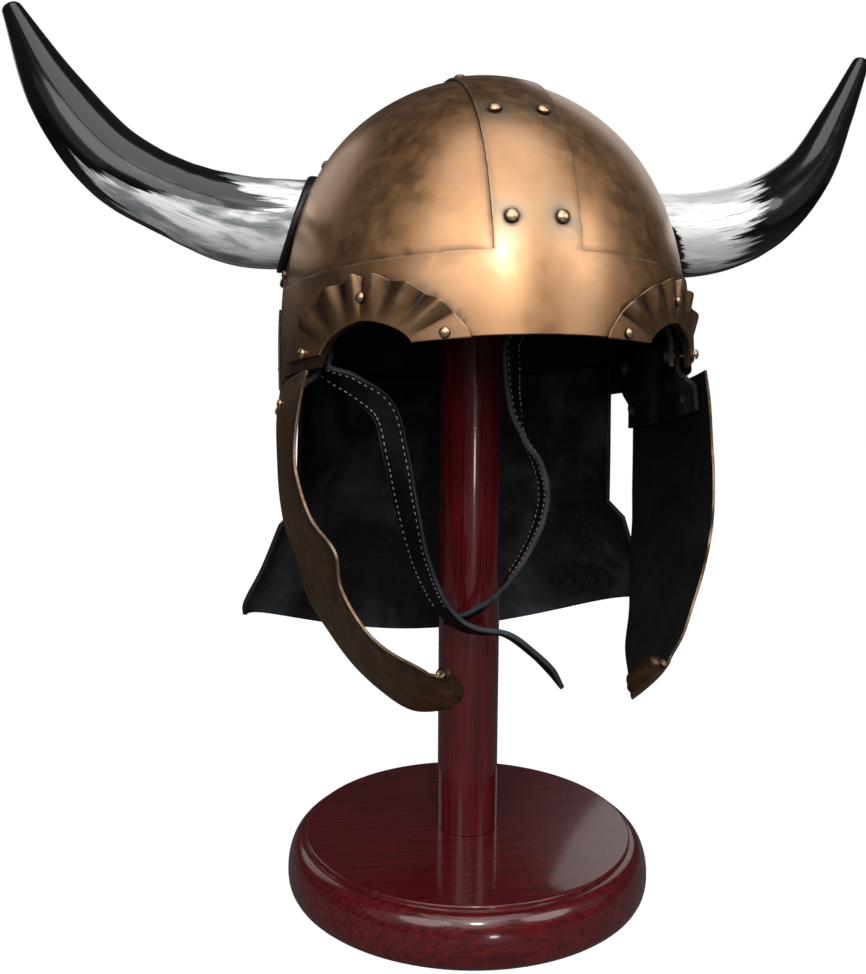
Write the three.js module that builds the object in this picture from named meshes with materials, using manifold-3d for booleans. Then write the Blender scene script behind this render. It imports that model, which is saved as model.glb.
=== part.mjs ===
import * as THREE from 'three';
import { mergeVertices } from 'three/addons/utils/BufferGeometryUtils.js';
import Module from 'manifold-3d';

// A horned sheet-metal helmet on a turned wooden stand, in millimetres, +Z up.
// The helmet looks along -Y, and left and right are as seen from its front.
// The origin is the centre of the stand's underside.

const wasm = await Module();
wasm.setup();

const degree = Math.PI / 180;

// Gaps between pieces that touch
const seatGap = 0.3;
const facetAllowance = 0.45;
const mergeTolerance = 0.02;

// Stand
const baseRadius = 102.5;
const baseTopRadius = 92.5;
const baseThickness = 30;
const baseFootInset = 3;
const basePlinthHeight = 9;
const baseLipDepth = 2.6;
const baseLipWidth = 1.2;
const postRadius = 17;
const postCrownRadius = 34;
const postEdgeRound = 5;
const standSides = 32;
const postSides = 20;

// How the helmet sits on the post
const tiltBack = 9.6 * degree;
const helmetForward = 19.5;
const rimHeight = 289;

// Crown, in the helmet's own frame: the rim's front lies at height 0
const crownHalfWidth = 105;
const crownHalfLength = 118;
const crownHeight = 149.5;
const crownUprightness = 2.9;
const crownFullness = 1.75;
const sideDrop = 5;
const sheet = 1.2;
const crownColumns = 40;
const crownRows = 9;

// Bands and panels of the crown
const browHeight = 38;
const browArch = 1.5;
const bandHalfWidth = 19;
const panelLap = 9;
const crossBandFront = 26;
const crossBandBack = 26;
const crossBandLap = 8;
const plateJoint = 0.5;

// Temple arches and the fluted fans over them
const archAngle = 43 * degree;
const archHalfWidth = 25.5;
const archHeight = 12;
const archPower = 1.55;
const fanHalfFront = 52;
const fanHalfRear = 57;
const fanHeight = 31;
const fanFootAngle = 2 * degree;
const fluteCount = 6;
const fluteStart = 36 * degree;
const flutePitch = 19.6 * degree;
const fluteRootStart = 22 * degree;
const fluteRootPitch = 24 * degree;
const fluteDepth = 3;
const fluteScallop = 1.2;

// Cheek guards
const guardGap = 2;
const guardDrop = 154;
const guardBulge = 5;
const tipRollRadius = 3.8;
const tipRollWall = 1.2;
const guardColumns = 5;

// Leather
const leather = 2.5;
const hingeTop = 15;
const hingeDrop = 17;
const hingeFront = 55;
const hingeBack = 41;
const hingeColumns = 6;
const neckLeatherTop = 12;
const neckAngle = 117 * degree;
const neckCreaseHeight = 203;
const neckCreaseStep = 6;
const neckCreaseHalfWidth = 94;
const neckSkirtHalfWidth = 104;
const neckHemHalfWidth = 125;
const neckSideBack = 35;
const neckHemSideBack = 45;
const neckHemFlare = 24;
const neckHemHeight = 115;
const neckHemSideRise = 31;
const neckHemCorner = 9;
const neckColumns = 14;

// Chin strap
const strapWidth = 12.5;
const strapThickness = 2.6;
const strapRivetAngle = 63 * degree;
const strapRivetHeight = 2.5;
const crossingDrop = 132;
const crossingSide = -11;
const crossingClearance = 10.5;
const strapTailLength = 66;
const strapSteps = 26;

// Horns
const hornHeight = 77;
const hornSpread = 140;
const hornBack = 16;
const hornForward = 1.4;
const hornRise = 111;
const hornRootRadius = 22;
const hornTipRound = 3;
const hornSides = 12;
const hornSteps = 12;
const hornRingWidth = 4;
const hornRingWall = 1.7;

// Rivets
const rivetSides = 8;
const bandRivetRadius = 3.3;
const bandRivetHeight = 2.2;
const smallRivetRadius = 2.5;
const smallRivetHeight = 1.8;
const shankRadius = 1.3;
const washerRadius = 3.6;
const washerThickness = 0.8;

// Layers of the crown, as distances from the panels' outer face
const panelLayer = { inner: -sheet, outer: 0 };
const plateLayer = { inner: seatGap, outer: seatGap + sheet };
const crossLayer = { inner: -2 * sheet - seatGap, outer: -sheet - seatGap };
const fanSeat = plateLayer.outer + seatGap;
const hingeSeat = crossLayer.inner - seatGap - 2 * facetAllowance;
const hingeInside = hingeSeat - leather - seatGap - facetAllowance;
const strapSeat = hingeInside - strapThickness / 2;
const strapInside = hingeInside - strapThickness - seatGap - facetAllowance;
const neckSeat = panelLayer.inner - seatGap - facetAllowance;
const guardLeatherSeat = -sheet - seatGap - facetAllowance;
const guardInside = guardLeatherSeat - leather - seatGap - facetAllowance;

const material = (color, roughness, metalness) =>
  new THREE.MeshStandardMaterial({ color, roughness, metalness });
const bronze = material(0x9c7347, 0.34, 1);
const bronzeRivet = material(0xb98a58, 0.3, 1);
const blackLeather = material(0x17181a, 0.55, 0);
const strapLeather = material(0x1d1d1f, 0.5, 0);
const horn = material(0x2b2a29, 0.18, 0);
const blackRing = material(0x0b0b0b, 0.45, 0);
const wood = material(0x4a0f12, 0.2, 0);

const group = new THREE.Group();
const helmet = new THREE.Group();
helmet.rotation.x = -tiltBack;
helmet.position.set(0, -helmetForward, rimHeight);
helmet.updateMatrix();
group.add(helmet);

function addPiece(parent, name, geometry, pieceMaterial) {
  const mesh = new THREE.Mesh(geometry, pieceMaterial);
  mesh.name = name;
  parent.add(mesh);
}

const inStandFrame = (point) => point.clone().applyMatrix4(helmet.matrix);

// Solids from points and triangles

function solid(points, triangles) {
  let volume = 0;
  for (const [a, b, c] of triangles) {
    volume += points[a].dot(points[b].clone().cross(points[c])) / 6;
  }
  const positions = new Float32Array(points.length * 3);
  points.forEach((point, i) => point.toArray(positions, i * 3));
  const order = volume > 0 ? [0, 1, 2] : [0, 2, 1];
  const geometry = new THREE.BufferGeometry();
  geometry.setAttribute('position', new THREE.BufferAttribute(positions, 3));
  geometry.setIndex(triangles.flatMap((triangle) => order.map((k) => triangle[k])));
  return geometry;
}

function quad(triangles, a, b, c, d) {
  triangles.push([a, b, c], [a, c, d]);
}

// A wall between two grids of points, closed along its four edges.
function wallSolid(outer, inner) {
  const rows = outer.length;
  const columns = outer[0].length;
  const points = [...outer.flat(), ...inner.flat()];
  const shift = rows * columns;
  const triangles = [];
  for (let i = 0; i + 1 < rows; i += 1) {
    for (let j = 0; j + 1 < columns; j += 1) {
      const a = i * columns + j;
      quad(triangles, a, a + 1, a + columns + 1, a + columns);
      quad(triangles, shift + a, shift + a + columns, shift + a + columns + 1, shift + a + 1);
    }
  }
  for (let j = 0; j + 1 < columns; j += 1) {
    const last = (rows - 1) * columns + j;
    quad(triangles, j + 1, j, shift + j, shift + j + 1);
    quad(triangles, last, last + 1, shift + last + 1, shift + last);
  }
  for (let i = 0; i + 1 < rows; i += 1) {
    const first = i * columns;
    const last = first + columns - 1;
    quad(triangles, first, first + columns, shift + first + columns, shift + first);
    quad(triangles, last + columns, last, shift + last, shift + last + columns);
  }
  return solid(points, triangles);
}

// A solid through closed rings of points, with a pole at each end.
function ringSolid(rings, firstPole, lastPole) {
  const sides = rings[0].length;
  const points = [...rings.flat(), firstPole, lastPole];
  const first = rings.length * sides;
  const triangles = [];
  for (let i = 0; i < rings.length; i += 1) {
    for (let j = 0; j < sides; j += 1) {
      const next = (j + 1) % sides;
      const a = i * sides + j;
      const b = i * sides + next;
      if (i + 1 < rings.length) quad(triangles, a, b, b + sides, a + sides);
      if (i === 0) triangles.push([b, a, first]);
      if (i + 1 === rings.length) triangles.push([a, b, first + 1]);
    }
  }
  return solid(points, triangles);
}

function lathe(profile, sides) {
  const geometry = new THREE.LatheGeometry(profile.map(([r, z]) => new THREE.Vector2(r, z)), sides);
  geometry.rotateX(Math.PI / 2);
  return welded(geometry);
}

function welded(source) {
  const geometry = source.index ? source.toNonIndexed() : source.clone();
  geometry.deleteAttribute('normal');
  geometry.deleteAttribute('uv');
  return mergeVertices(geometry, 1e-4);
}

function toManifold(geometry) {
  return new wasm.Manifold(new wasm.Mesh({
    numProp: 3,
    vertProperties: new Float32Array(geometry.attributes.position.array),
    triVerts: new Uint32Array(geometry.index.array),
  }));
}

function fromManifold(manifold) {
  const mesh = manifold.asOriginal().simplify(mergeTolerance).getMesh();
  const geometry = new THREE.BufferGeometry();
  geometry.setAttribute('position', new THREE.BufferAttribute(mesh.vertProperties, 3));
  geometry.setIndex(Array.from(mesh.triVerts));
  return geometry;
}

// An outline in the XZ plane, pushed from y = back to y = front, for cutting.
function slabAlongY(shape, fromY, toY) {
  const geometry = new THREE.ExtrudeGeometry(shape, {
    depth: toY - fromY, bevelEnabled: false, curveSegments: 12,
  });
  geometry.rotateX(Math.PI / 2);
  geometry.translate(0, toY, 0);
  return welded(geometry);
}

function block(minX, maxX, minY, maxY, minZ, maxZ) {
  const geometry = new THREE.BoxGeometry(maxX - minX, maxY - minY, maxZ - minZ);
  geometry.translate((minX + maxX) / 2, (minY + maxY) / 2, (minZ + maxZ) / 2);
  return toManifold(welded(geometry));
}

// Crown surface: an upright ellipse whose radius falls off towards the top

function crownFrame(angle, height, offset) {
  const share = Math.max(height, 0) / crownHeight;
  const radius = Math.max(1 - share ** crownUprightness, 0) ** (1 / crownFullness);
  const x = crownHalfWidth * radius * Math.sin(angle);
  const y = -crownHalfLength * radius * Math.cos(angle);
  const normal = new THREE.Vector3(0, 0, 1);
  if (radius > 0) {
    const plan = crownFullness * radius ** (crownFullness - 2);
    normal.set(
      plan * x / crownHalfWidth ** 2,
      plan * y / crownHalfLength ** 2,
      crownUprightness * share ** (crownUprightness - 1) / crownHeight,
    ).normalize();
  }
  const point = new THREE.Vector3(x, y, height).addScaledVector(normal, offset);
  return { point, normal };
}

const crownPoint = (angle, height, offset) => crownFrame(angle, height, offset).point;

// The angle at which the crown reaches a given distance in front of its middle.
function angleAt(forward, height) {
  const share = Math.max(height, 0) / crownHeight;
  const radius = (1 - share ** crownUprightness) ** (1 / crownFullness);
  return Math.acos(forward / (crownHalfLength * radius));
}

function crownRowHeights() {
  const heights = [-sideDrop, 0];
  for (let i = 1; i < crownRows; i += 1) {
    heights.push(crownHeight * Math.sin(i * Math.PI / 2 / crownRows) ** (2 / crownUprightness));
  }
  return heights;
}

function crownRings(offset) {
  return crownRowHeights().map((height) => {
    const ring = [];
    for (let j = 0; j < crownColumns; j += 1) {
      ring.push(crownPoint(j * 2 * Math.PI / crownColumns, height, offset));
    }
    return ring;
  });
}

function crownShell({ inner, outer }) {
  const outerRings = crownRings(outer);
  const innerRings = crownRings(inner).reverse();
  return toManifold(ringSolid(
    [...innerRings, ...outerRings],
    new THREE.Vector3(0, 0, crownHeight + inner),
    new THREE.Vector3(0, 0, crownHeight + outer),
  ));
}

// Everything inside the crown out to an offset, for trimming what stands on it.
function crownCore(offset) {
  return toManifold(ringSolid(
    crownRings(offset),
    new THREE.Vector3(0, 0, -sideDrop),
    new THREE.Vector3(0, 0, crownHeight + offset),
  ));
}

const beyond = 2 * (crownHalfLength + crownHeight);
const archSteps = 20;

// A rounded arch, flatter at its shoulders than a half ellipse. Turn runs from one foot to the other.
function archOutline(turn, halfWidth, height) {
  const cosine = Math.cos(turn);
  return {
    x: halfWidth * Math.sign(cosine) * Math.abs(cosine) ** (2 / archPower),
    z: height * Math.abs(Math.sin(turn)) ** (2 / archPower),
  };
}

// The opening over each temple: an arch with straight legs down past the rim.
function archCutter(side) {
  const shape = new THREE.Shape();
  shape.moveTo(-archHalfWidth, -sideDrop * 3);
  shape.lineTo(archHalfWidth, -sideDrop * 3);
  for (let i = 0; i <= archSteps; i += 1) {
    const { x, z } = archOutline(i * Math.PI / archSteps, archHalfWidth, archHeight);
    shape.lineTo(x, z);
  }
  const { point, normal } = crownFrame(side * archAngle, 0, 0);
  const geometry = slabAlongY(shape, -archHalfWidth, archHalfWidth);
  geometry.rotateZ(Math.atan2(normal.x, -normal.y));
  geometry.translate(point.x, point.y, 0);
  return toManifold(geometry);
}

// What lies below the brow between the two arches, with a shallow arch in its top.
function browTrimmer() {
  const half = crownHalfWidth * Math.sin(archAngle);
  const shape = new THREE.Shape();
  shape.moveTo(-half, -sideDrop * 3);
  shape.lineTo(half, -sideDrop * 3);
  shape.lineTo(half, 0);
  shape.quadraticCurveTo(0, 2 * browArch, -half, 0);
  return toManifold(slabAlongY(shape, -beyond, -crownHalfLength / 3));
}

const archCuts = archCutter(-1).add(archCutter(1));
const browCut = browTrimmer();
let bores = null;

function addCrownPanels() {
  const shell = crownShell(panelLayer).subtract(archCuts).subtract(browCut).subtract(bores);
  const inset = bandHalfWidth - panelLap;
  for (const [side, sideName] of [[-1, 'left'], [1, 'right']]) {
    const minX = side < 0 ? -beyond : inset;
    const maxX = side < 0 ? -inset : beyond;
    const front = block(minX, maxX, -beyond, -crossBandFront, -beyond, beyond);
    const rear = block(minX, maxX, crossBandBack, beyond, -beyond, beyond);
    addPiece(helmet, `crown_panel_front_${sideName}`, fromManifold(shell.intersect(front)), bronze);
    addPiece(helmet, `crown_panel_rear_${sideName}`, fromManifold(shell.intersect(rear)), bronze);
  }
}

function addCrossBand() {
  const reach = block(-beyond, beyond, -crossBandFront - crossBandLap, crossBandBack + crossBandLap,
    -beyond, beyond);
  addPiece(helmet, 'cross_band', fromManifold(crownShell(crossLayer).intersect(reach).subtract(bores)), bronze);
}

// Each plate is one sheet: a strip along the rim and a band up over the crown.
function addPlates() {
  const shell = crownShell(plateLayer).subtract(archCuts).subtract(browCut).subtract(bores);
  const half = plateJoint / 2;
  const frontBand = block(-bandHalfWidth, bandHalfWidth, -beyond, -half, -beyond, beyond);
  const frontRim = block(-beyond, beyond, -beyond, -crossBandFront, -beyond, browHeight);
  const rearBand = block(-bandHalfWidth, bandHalfWidth, half, beyond, -beyond, beyond);
  const rearRim = block(-beyond, beyond, crossBandBack, beyond, -beyond, browHeight);
  addPiece(helmet, 'front_plate', fromManifold(shell.intersect(frontBand.add(frontRim))), bronze);
  addPiece(helmet, 'rear_plate', fromManifold(shell.intersect(rearBand.add(rearRim))), bronze);
}

// Fans: fluted sheet from the arch's edge to a larger half ellipse

// The rim's length of arc that one radian of angle covers at the arches.
const rimPerRadian = Math.hypot(
  crownHalfWidth * Math.cos(archAngle),
  crownHalfLength * Math.sin(archAngle),
);

const fluteEnd = fluteStart + fluteCount * flutePitch;
const fluteRootEnd = fluteRootStart + fluteCount * fluteRootPitch;

function fluteRise(turn, share) {
  const along = (turn - fluteStart) / flutePitch;
  if (along <= 0 || along >= fluteCount) return 0;
  return fluteDepth * share ** 1.2 * (1 - Math.cos(2 * Math.PI * along)) / 2;
}

// The flutes spread wider at their roots than at their outer ends.
function rootTurn(turn) {
  if (turn < fluteStart) return turn * fluteRootStart / fluteStart;
  if (turn > fluteEnd) {
    return Math.PI - (Math.PI - turn) * (Math.PI - fluteRootEnd) / (Math.PI - fluteEnd);
  }
  return fluteRootStart + (turn - fluteStart) * fluteRootPitch / flutePitch;
}

function fanFrame(side, turn, share, offset) {
  const wave = fluteScallop * fluteRise(turn, 1) / fluteDepth;
  const reach = turn < Math.PI / 2 ? fanHalfRear : fanHalfFront;
  const root = archOutline(rootTurn(turn), archHalfWidth, archHeight);
  const rim = archOutline(turn, reach + wave, fanHeight + wave);
  const x = root.x + (rim.x - root.x) * share;
  const z = root.z + (rim.z - root.z) * share;
  return crownFrame(side * (archAngle + x / rimPerRadian), z, offset);
}

function addFans() {
  const stepsPerFlute = 4;
  const turns = [fanFootAngle, (fanFootAngle + fluteStart) / 2];
  for (let i = 0; i <= fluteCount * stepsPerFlute; i += 1) {
    turns.push(fluteStart + i * flutePitch / stepsPerFlute);
  }
  turns.push((fluteEnd + Math.PI - fanFootAngle) / 2, Math.PI - fanFootAngle);
  const shares = [0, 0.33, 0.66, 1];
  for (const [side, sideName] of [[-1, 'left'], [1, 'right']]) {
    const layer = (offset) => turns.map((turn) => shares.map(
      (share) => fanFrame(side, turn, share, fanSeat + offset + fluteRise(turn, share)).point,
    ));
    const fan = toManifold(wallSolid(layer(sheet), layer(0))).subtract(bores);
    addPiece(helmet, `temple_fan_${sideName}`, fromManifold(fan), bronze);
  }
}

// Cheek guards: one curved plate each, from the hinge down and forward to the chin

// Rows from the top edge to the tip. Out is a share of the crown's half width, fore and back are
// shares of its half length, drop is a share of the guard's drop, bulge of the guard's bulge.
const guardRows = [
  { frontOut: 0.914, frontFore: 0.585, frontDrop: 0, rearOut: 0.967, rearBack: 0.347, rearDrop: 0, bulge: 1 },
  { frontOut: 0.948, frontFore: 0.551, frontDrop: 0.097, rearOut: 0.986, rearBack: 0.403, rearDrop: 0.104, bulge: 0.9 },
  { frontOut: 0.971, frontFore: 0.517, frontDrop: 0.227, rearOut: 0.99, rearBack: 0.432, rearDrop: 0.247, bulge: 0.6 },
  { frontOut: 0.962, frontFore: 0.542, frontDrop: 0.318, rearOut: 0.986, rearBack: 0.441, rearDrop: 0.357, bulge: 0.5 },
  { frontOut: 0.914, frontFore: 0.619, frontDrop: 0.435, rearOut: 0.962, rearBack: 0.398, rearDrop: 0.474, bulge: 0.6 },
  { frontOut: 0.829, frontFore: 0.742, frontDrop: 0.529, rearOut: 0.914, rearBack: 0.322, rearDrop: 0.578, bulge: 0.8 },
  { frontOut: 0.805, frontFore: 0.712, frontDrop: 0.63, rearOut: 0.867, rearBack: 0.237, rearDrop: 0.708, bulge: 0.8 },
  { frontOut: 0.729, frontFore: 0.75, frontDrop: 0.734, rearOut: 0.795, rearBack: 0.085, rearDrop: 0.799, bulge: 0.6 },
  { frontOut: 0.643, frontFore: 0.839, frontDrop: 0.799, rearOut: 0.695, rearBack: -0.093, rearDrop: 0.903, bulge: 0.6 },
  { frontOut: 0.524, frontFore: 0.975, frontDrop: 0.844, rearOut: 0.595, rearBack: -0.364, rearDrop: 0.968, bulge: 0.6 },
  { frontOut: 0.5, frontFore: 1.008, frontDrop: 0.854, rearOut: 0.495, rearBack: -0.619, rearDrop: 1, bulge: 0.5 },
  { frontOut: 0.476, frontFore: 1.034, frontDrop: 0.857, rearOut: 0.39, rearBack: -0.869, rearDrop: 0.968, bulge: 0.2 },
  { frontOut: 0.471, frontFore: 1.038, frontDrop: 0.86, rearOut: 0.367, rearBack: -0.924, rearDrop: 0.945, bulge: 0 },
];
const guardTop = -sideDrop - guardGap;

function guardFacePoint(row, share) {
  const front = new THREE.Vector3(
    row.frontOut * crownHalfWidth,
    -row.frontFore * crownHalfLength,
    guardTop - row.frontDrop * guardDrop,
  );
  const rear = new THREE.Vector3(
    row.rearOut * crownHalfWidth,
    row.rearBack * crownHalfLength,
    guardTop - row.rearDrop * guardDrop,
  );
  const outward = new THREE.Vector3(rear.y - front.y, front.x - rear.x, 0).normalize();
  const bulge = 4 * share * (1 - share) * row.bulge * guardBulge;
  return front.lerp(rear, share).addScaledVector(outward, bulge);
}

function blendRows(position) {
  const index = Math.min(Math.floor(position), guardRows.length - 2);
  const mix = position - index;
  const blended = {};
  for (const key of Object.keys(guardRows[0])) {
    blended[key] = guardRows[index][key] * (1 - mix) + guardRows[index + 1][key] * mix;
  }
  return blended;
}

// A point of the guard's outer face, moved along the face's normal.
function guardFrame(position, share, offset) {
  const step = 0.05;
  const at = (p, s) => guardFacePoint(blendRows(p), s);
  const last = guardRows.length - 1;
  const down = at(Math.min(position + step, last), share).sub(at(Math.max(position - step, 0), share));
  const across = at(position, Math.min(share + step, 1)).sub(at(position, Math.max(share - step, 0)));
  const normal = across.cross(down).normalize();
  if (normal.x < 0) normal.negate();
  return { point: at(position, share).addScaledVector(normal, offset), normal };
}

function mirrored(point, side) {
  point.x *= side;
  return point;
}

function tubeAlong(from, to, radius, sides) {
  const axis = to.clone().sub(from);
  const geometry = new THREE.CylinderGeometry(radius, radius, axis.length(), sides);
  geometry.applyQuaternion(new THREE.Quaternion().setFromUnitVectors(
    new THREE.Vector3(0, 1, 0),
    axis.clone().normalize(),
  ));
  const middle = from.clone().lerp(to, 0.5);
  geometry.translate(middle.x, middle.y, middle.z);
  return toManifold(welded(geometry));
}

function addGuards() {
  const last = guardRows.length - 1;
  for (const [side, sideName] of [[-1, 'left'], [1, 'right']]) {
    const layer = (offset) => guardRows.map((row, position) => {
      const points = [];
      for (let j = 0; j <= guardColumns; j += 1) {
        points.push(mirrored(guardFrame(position, j / guardColumns, offset).point, side));
      }
      return points;
    });
    const plate = toManifold(wallSolid(layer(0), layer(-sheet)));
    // The tip is rolled inwards into a small tube along the end of the plate.
    const front = guardFrame(last, 0, -tipRollRadius);
    const rear = guardFrame(last, 1, -tipRollRadius);
    const start = mirrored(front.point, side);
    const end = mirrored(rear.point, side);
    const along = end.clone().sub(start).normalize();
    const roll = tubeAlong(start, end, tipRollRadius, 12);
    const bore = tubeAlong(
      start.clone().addScaledVector(along, -sheet),
      end.clone().addScaledVector(along, sheet),
      tipRollRadius - tipRollWall,
      12,
    );
    addPiece(helmet, `cheek_guard_${sideName}`,
      fromManifold(plate.add(roll).subtract(bore).subtract(bores)), bronze);
  }
}

// Leather hinges: they follow the inside of the rim and then the inside of the guard

// The share of the guard's width that lies a given distance in front of the helmet's middle.
function guardShare(forward) {
  const top = guardRows[0];
  return (top.frontFore * crownHalfLength - forward)
    / ((top.frontFore + top.rearBack) * crownHalfLength);
}

// A height below the guard's top edge, as a position in the guard's rows.
const guardPosition = (height) => Math.max(guardTop - height, 0) / (guardRows[1].frontDrop * guardDrop);

const hingeRows = [
  { height: hingeTop, onGuard: 0 },
  { height: guardTop + 3, onGuard: 0 },
  { height: guardTop - 1, onGuard: 0.45 },
  { height: guardTop - 6, onGuard: 1 },
  { height: guardTop - hingeDrop, onGuard: 1 },
];

function addHinges() {
  const gridPoint = (row, column, thickness) => {
    const forward = hingeFront - (hingeFront + hingeBack) * column / hingeColumns;
    const onCrown = crownPoint(angleAt(forward, 0), row.height, hingeSeat - thickness);
    const onGuard = guardFrame(
      guardPosition(row.height),
      guardShare(forward),
      guardLeatherSeat - thickness,
    ).point;
    return onCrown.lerp(onGuard, row.onGuard);
  };
  for (const [side, sideName] of [[-1, 'left'], [1, 'right']]) {
    const layer = (thickness) => hingeRows.map((row) => {
      const points = [];
      for (let j = 0; j <= hingeColumns; j += 1) {
        points.push(mirrored(gridPoint(row, j, thickness), side));
      }
      return points;
    });
    const sheetOfLeather = toManifold(wallSolid(layer(0), layer(leather)));
    addPiece(helmet, `hinge_leather_${sideName}`,
      fromManifold(sheetOfLeather.subtract(bores)), blackLeather);
  }
}

// Neck guard: it follows the rear rim, hangs straight to a crease, and then flares

function neckRow(row, across, thickness) {
  const trim = (row.trim ?? 0) / row.halfWidth;
  const turn = across * (Math.PI / 2 - trim);
  if (row.onRim) {
    const angle = Math.PI - across * (Math.PI - neckAngle);
    return inStandFrame(crownPoint(angle, row.height, neckSeat - thickness));
  }
  const backReach = row.back - row.sideBack;
  const x = (row.halfWidth - thickness) * Math.sin(turn);
  const y = row.sideBack + (backReach - thickness) * Math.cos(turn);
  return new THREE.Vector3(x, y, row.height + row.sideRise * Math.sin(turn) ** 2);
}

function addNeckGuard() {
  const rimBack = inStandFrame(crownPoint(Math.PI, -sideDrop, neckSeat)).y;
  const rows = [
    { onRim: true, height: neckLeatherTop },
    { onRim: true, height: -sideDrop },
    { halfWidth: neckCreaseHalfWidth, back: rimBack + 1, sideBack: neckSideBack,
      height: neckCreaseHeight, sideRise: 8 },
    { halfWidth: neckSkirtHalfWidth, back: rimBack + 2, sideBack: neckSideBack,
      height: neckCreaseHeight - neckCreaseStep, sideRise: 4 },
    { halfWidth: (neckSkirtHalfWidth + neckHemHalfWidth) / 2, back: rimBack + neckHemFlare * 0.4,
      sideBack: (neckSideBack + neckHemSideBack) / 2,
      height: (neckCreaseHeight + neckHemHeight) / 2, sideRise: neckHemSideRise * 0.5 },
    { halfWidth: neckHemHalfWidth - 1, back: rimBack + neckHemFlare - 2, sideBack: neckHemSideBack,
      height: neckHemHeight + neckHemCorner, sideRise: neckHemSideRise },
    { halfWidth: neckHemHalfWidth, back: rimBack + neckHemFlare, sideBack: neckHemSideBack,
      height: neckHemHeight, sideRise: neckHemSideRise, trim: neckHemCorner },
  ];
  const layer = (thickness) => rows.map((row) => {
    const points = [];
    for (let j = 0; j <= neckColumns; j += 1) {
      points.push(neckRow(row, 2 * j / neckColumns - 1, thickness));
    }
    return points;
  });
  addPiece(group, 'neck_guard', wallSolid(layer(0), layer(leather)), blackLeather);
}

// Chin strap: two flat straps that cross in front of the post, in the stand's frame

function ribbon(points, turns, widths, steps) {
  const curve = new THREE.CatmullRomCurve3(points, false, 'centripetal');
  const reference = new THREE.Vector3(0, 1, 0);
  const spans = points.length - 1;
  const sections = [];
  for (let i = 0; i <= steps; i += 1) {
    const t = i / steps;
    const index = Math.min(Math.floor(t * spans), spans - 1);
    const mix = t * spans - index;
    const ease = mix * mix * (3 - 2 * mix);
    const turn = (turns[index] * (1 - ease) + turns[index + 1] * ease) * degree;
    const width = widths[index] * (1 - mix) + widths[index + 1] * mix;
    const tangent = curve.getTangent(t);
    const depthwise = reference.clone().addScaledVector(tangent, -reference.dot(tangent)).normalize();
    const sideways = tangent.clone().cross(depthwise);
    const across = depthwise.multiplyScalar(Math.cos(turn)).addScaledVector(sideways, Math.sin(turn));
    const through = tangent.clone().cross(across).normalize();
    sections.push({ centre: curve.getPoint(t), across, through, width });
  }
  const layer = (share) => sections.map(({ centre, across, through, width }) => [-0.5, 0.5].map(
    (edge) => centre.clone().addScaledVector(across, edge * width)
      .addScaledVector(through, share * strapThickness),
  ));
  return wallSolid(layer(0.5), layer(-0.5));
}

const crossing = new THREE.Vector3(
  crossingSide,
  -(postRadius + crossingClearance),
  rimHeight - crossingDrop,
);

function strapEnd(side) {
  return inStandFrame(crownPoint(side * strapRivetAngle, strapRivetHeight, strapSeat));
}

// A route's rows run from its rivet, share 0, to the crossing, share 1, with the distances by
// which the strap leaves that straight line, its turn in degrees and its share of the width.
function strapRoute(end, rows) {
  return rows.map((row) => end.clone().lerp(crossing, row.share)
    .add(new THREE.Vector3(row.side, row.back, row.rise)));
}

const leftStrapRows = [
  { share: 0, side: 0, back: 1, rise: 8, turn: -21, width: 1 },
  { share: 0, side: 0, back: 0, rise: 0, turn: -21, width: 1 },
  { share: 0.045, side: -3.3, back: -1.5, rise: 0, turn: -24, width: 1 },
  { share: 0.1, side: 6, back: -5, rise: 0, turn: -55, width: 1 },
  { share: 0.18, side: 14, back: -8.5, rise: 0, turn: -85, width: 1 },
  { share: 0.34, side: 9, back: -11.5, rise: 0, turn: -78, width: 1 },
  { share: 0.5, side: 2.5, back: -12, rise: 0, turn: -58, width: 1 },
  { share: 0.73, side: -5, back: -8, rise: 0, turn: -42, width: 1 },
  { share: 0.9, side: -6, back: -4.5, rise: 0, turn: -34, width: 0.95 },
  { share: 0.97, side: -3.5, back: -4, rise: 0, turn: -36, width: 0.85 },
  { share: 1, side: 1, back: -4, rise: -1, turn: -34, width: 0.8 },
];
const tailRows = [
  { reach: 0.14, back: -4, drop: 0.06, turn: -26, width: 0.8 },
  { reach: 0.37, back: -3.5, drop: 0.1, turn: -18, width: 0.8 },
  { reach: 0.6, back: -3.5, drop: 0.27, turn: -16, width: 0.8 },
  { reach: 0.75, back: -3.5, drop: 0.42, turn: -18, width: 0.72 },
  { reach: 0.86, back: -3.5, drop: 0.58, turn: -20, width: 0.12 },
];
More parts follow.
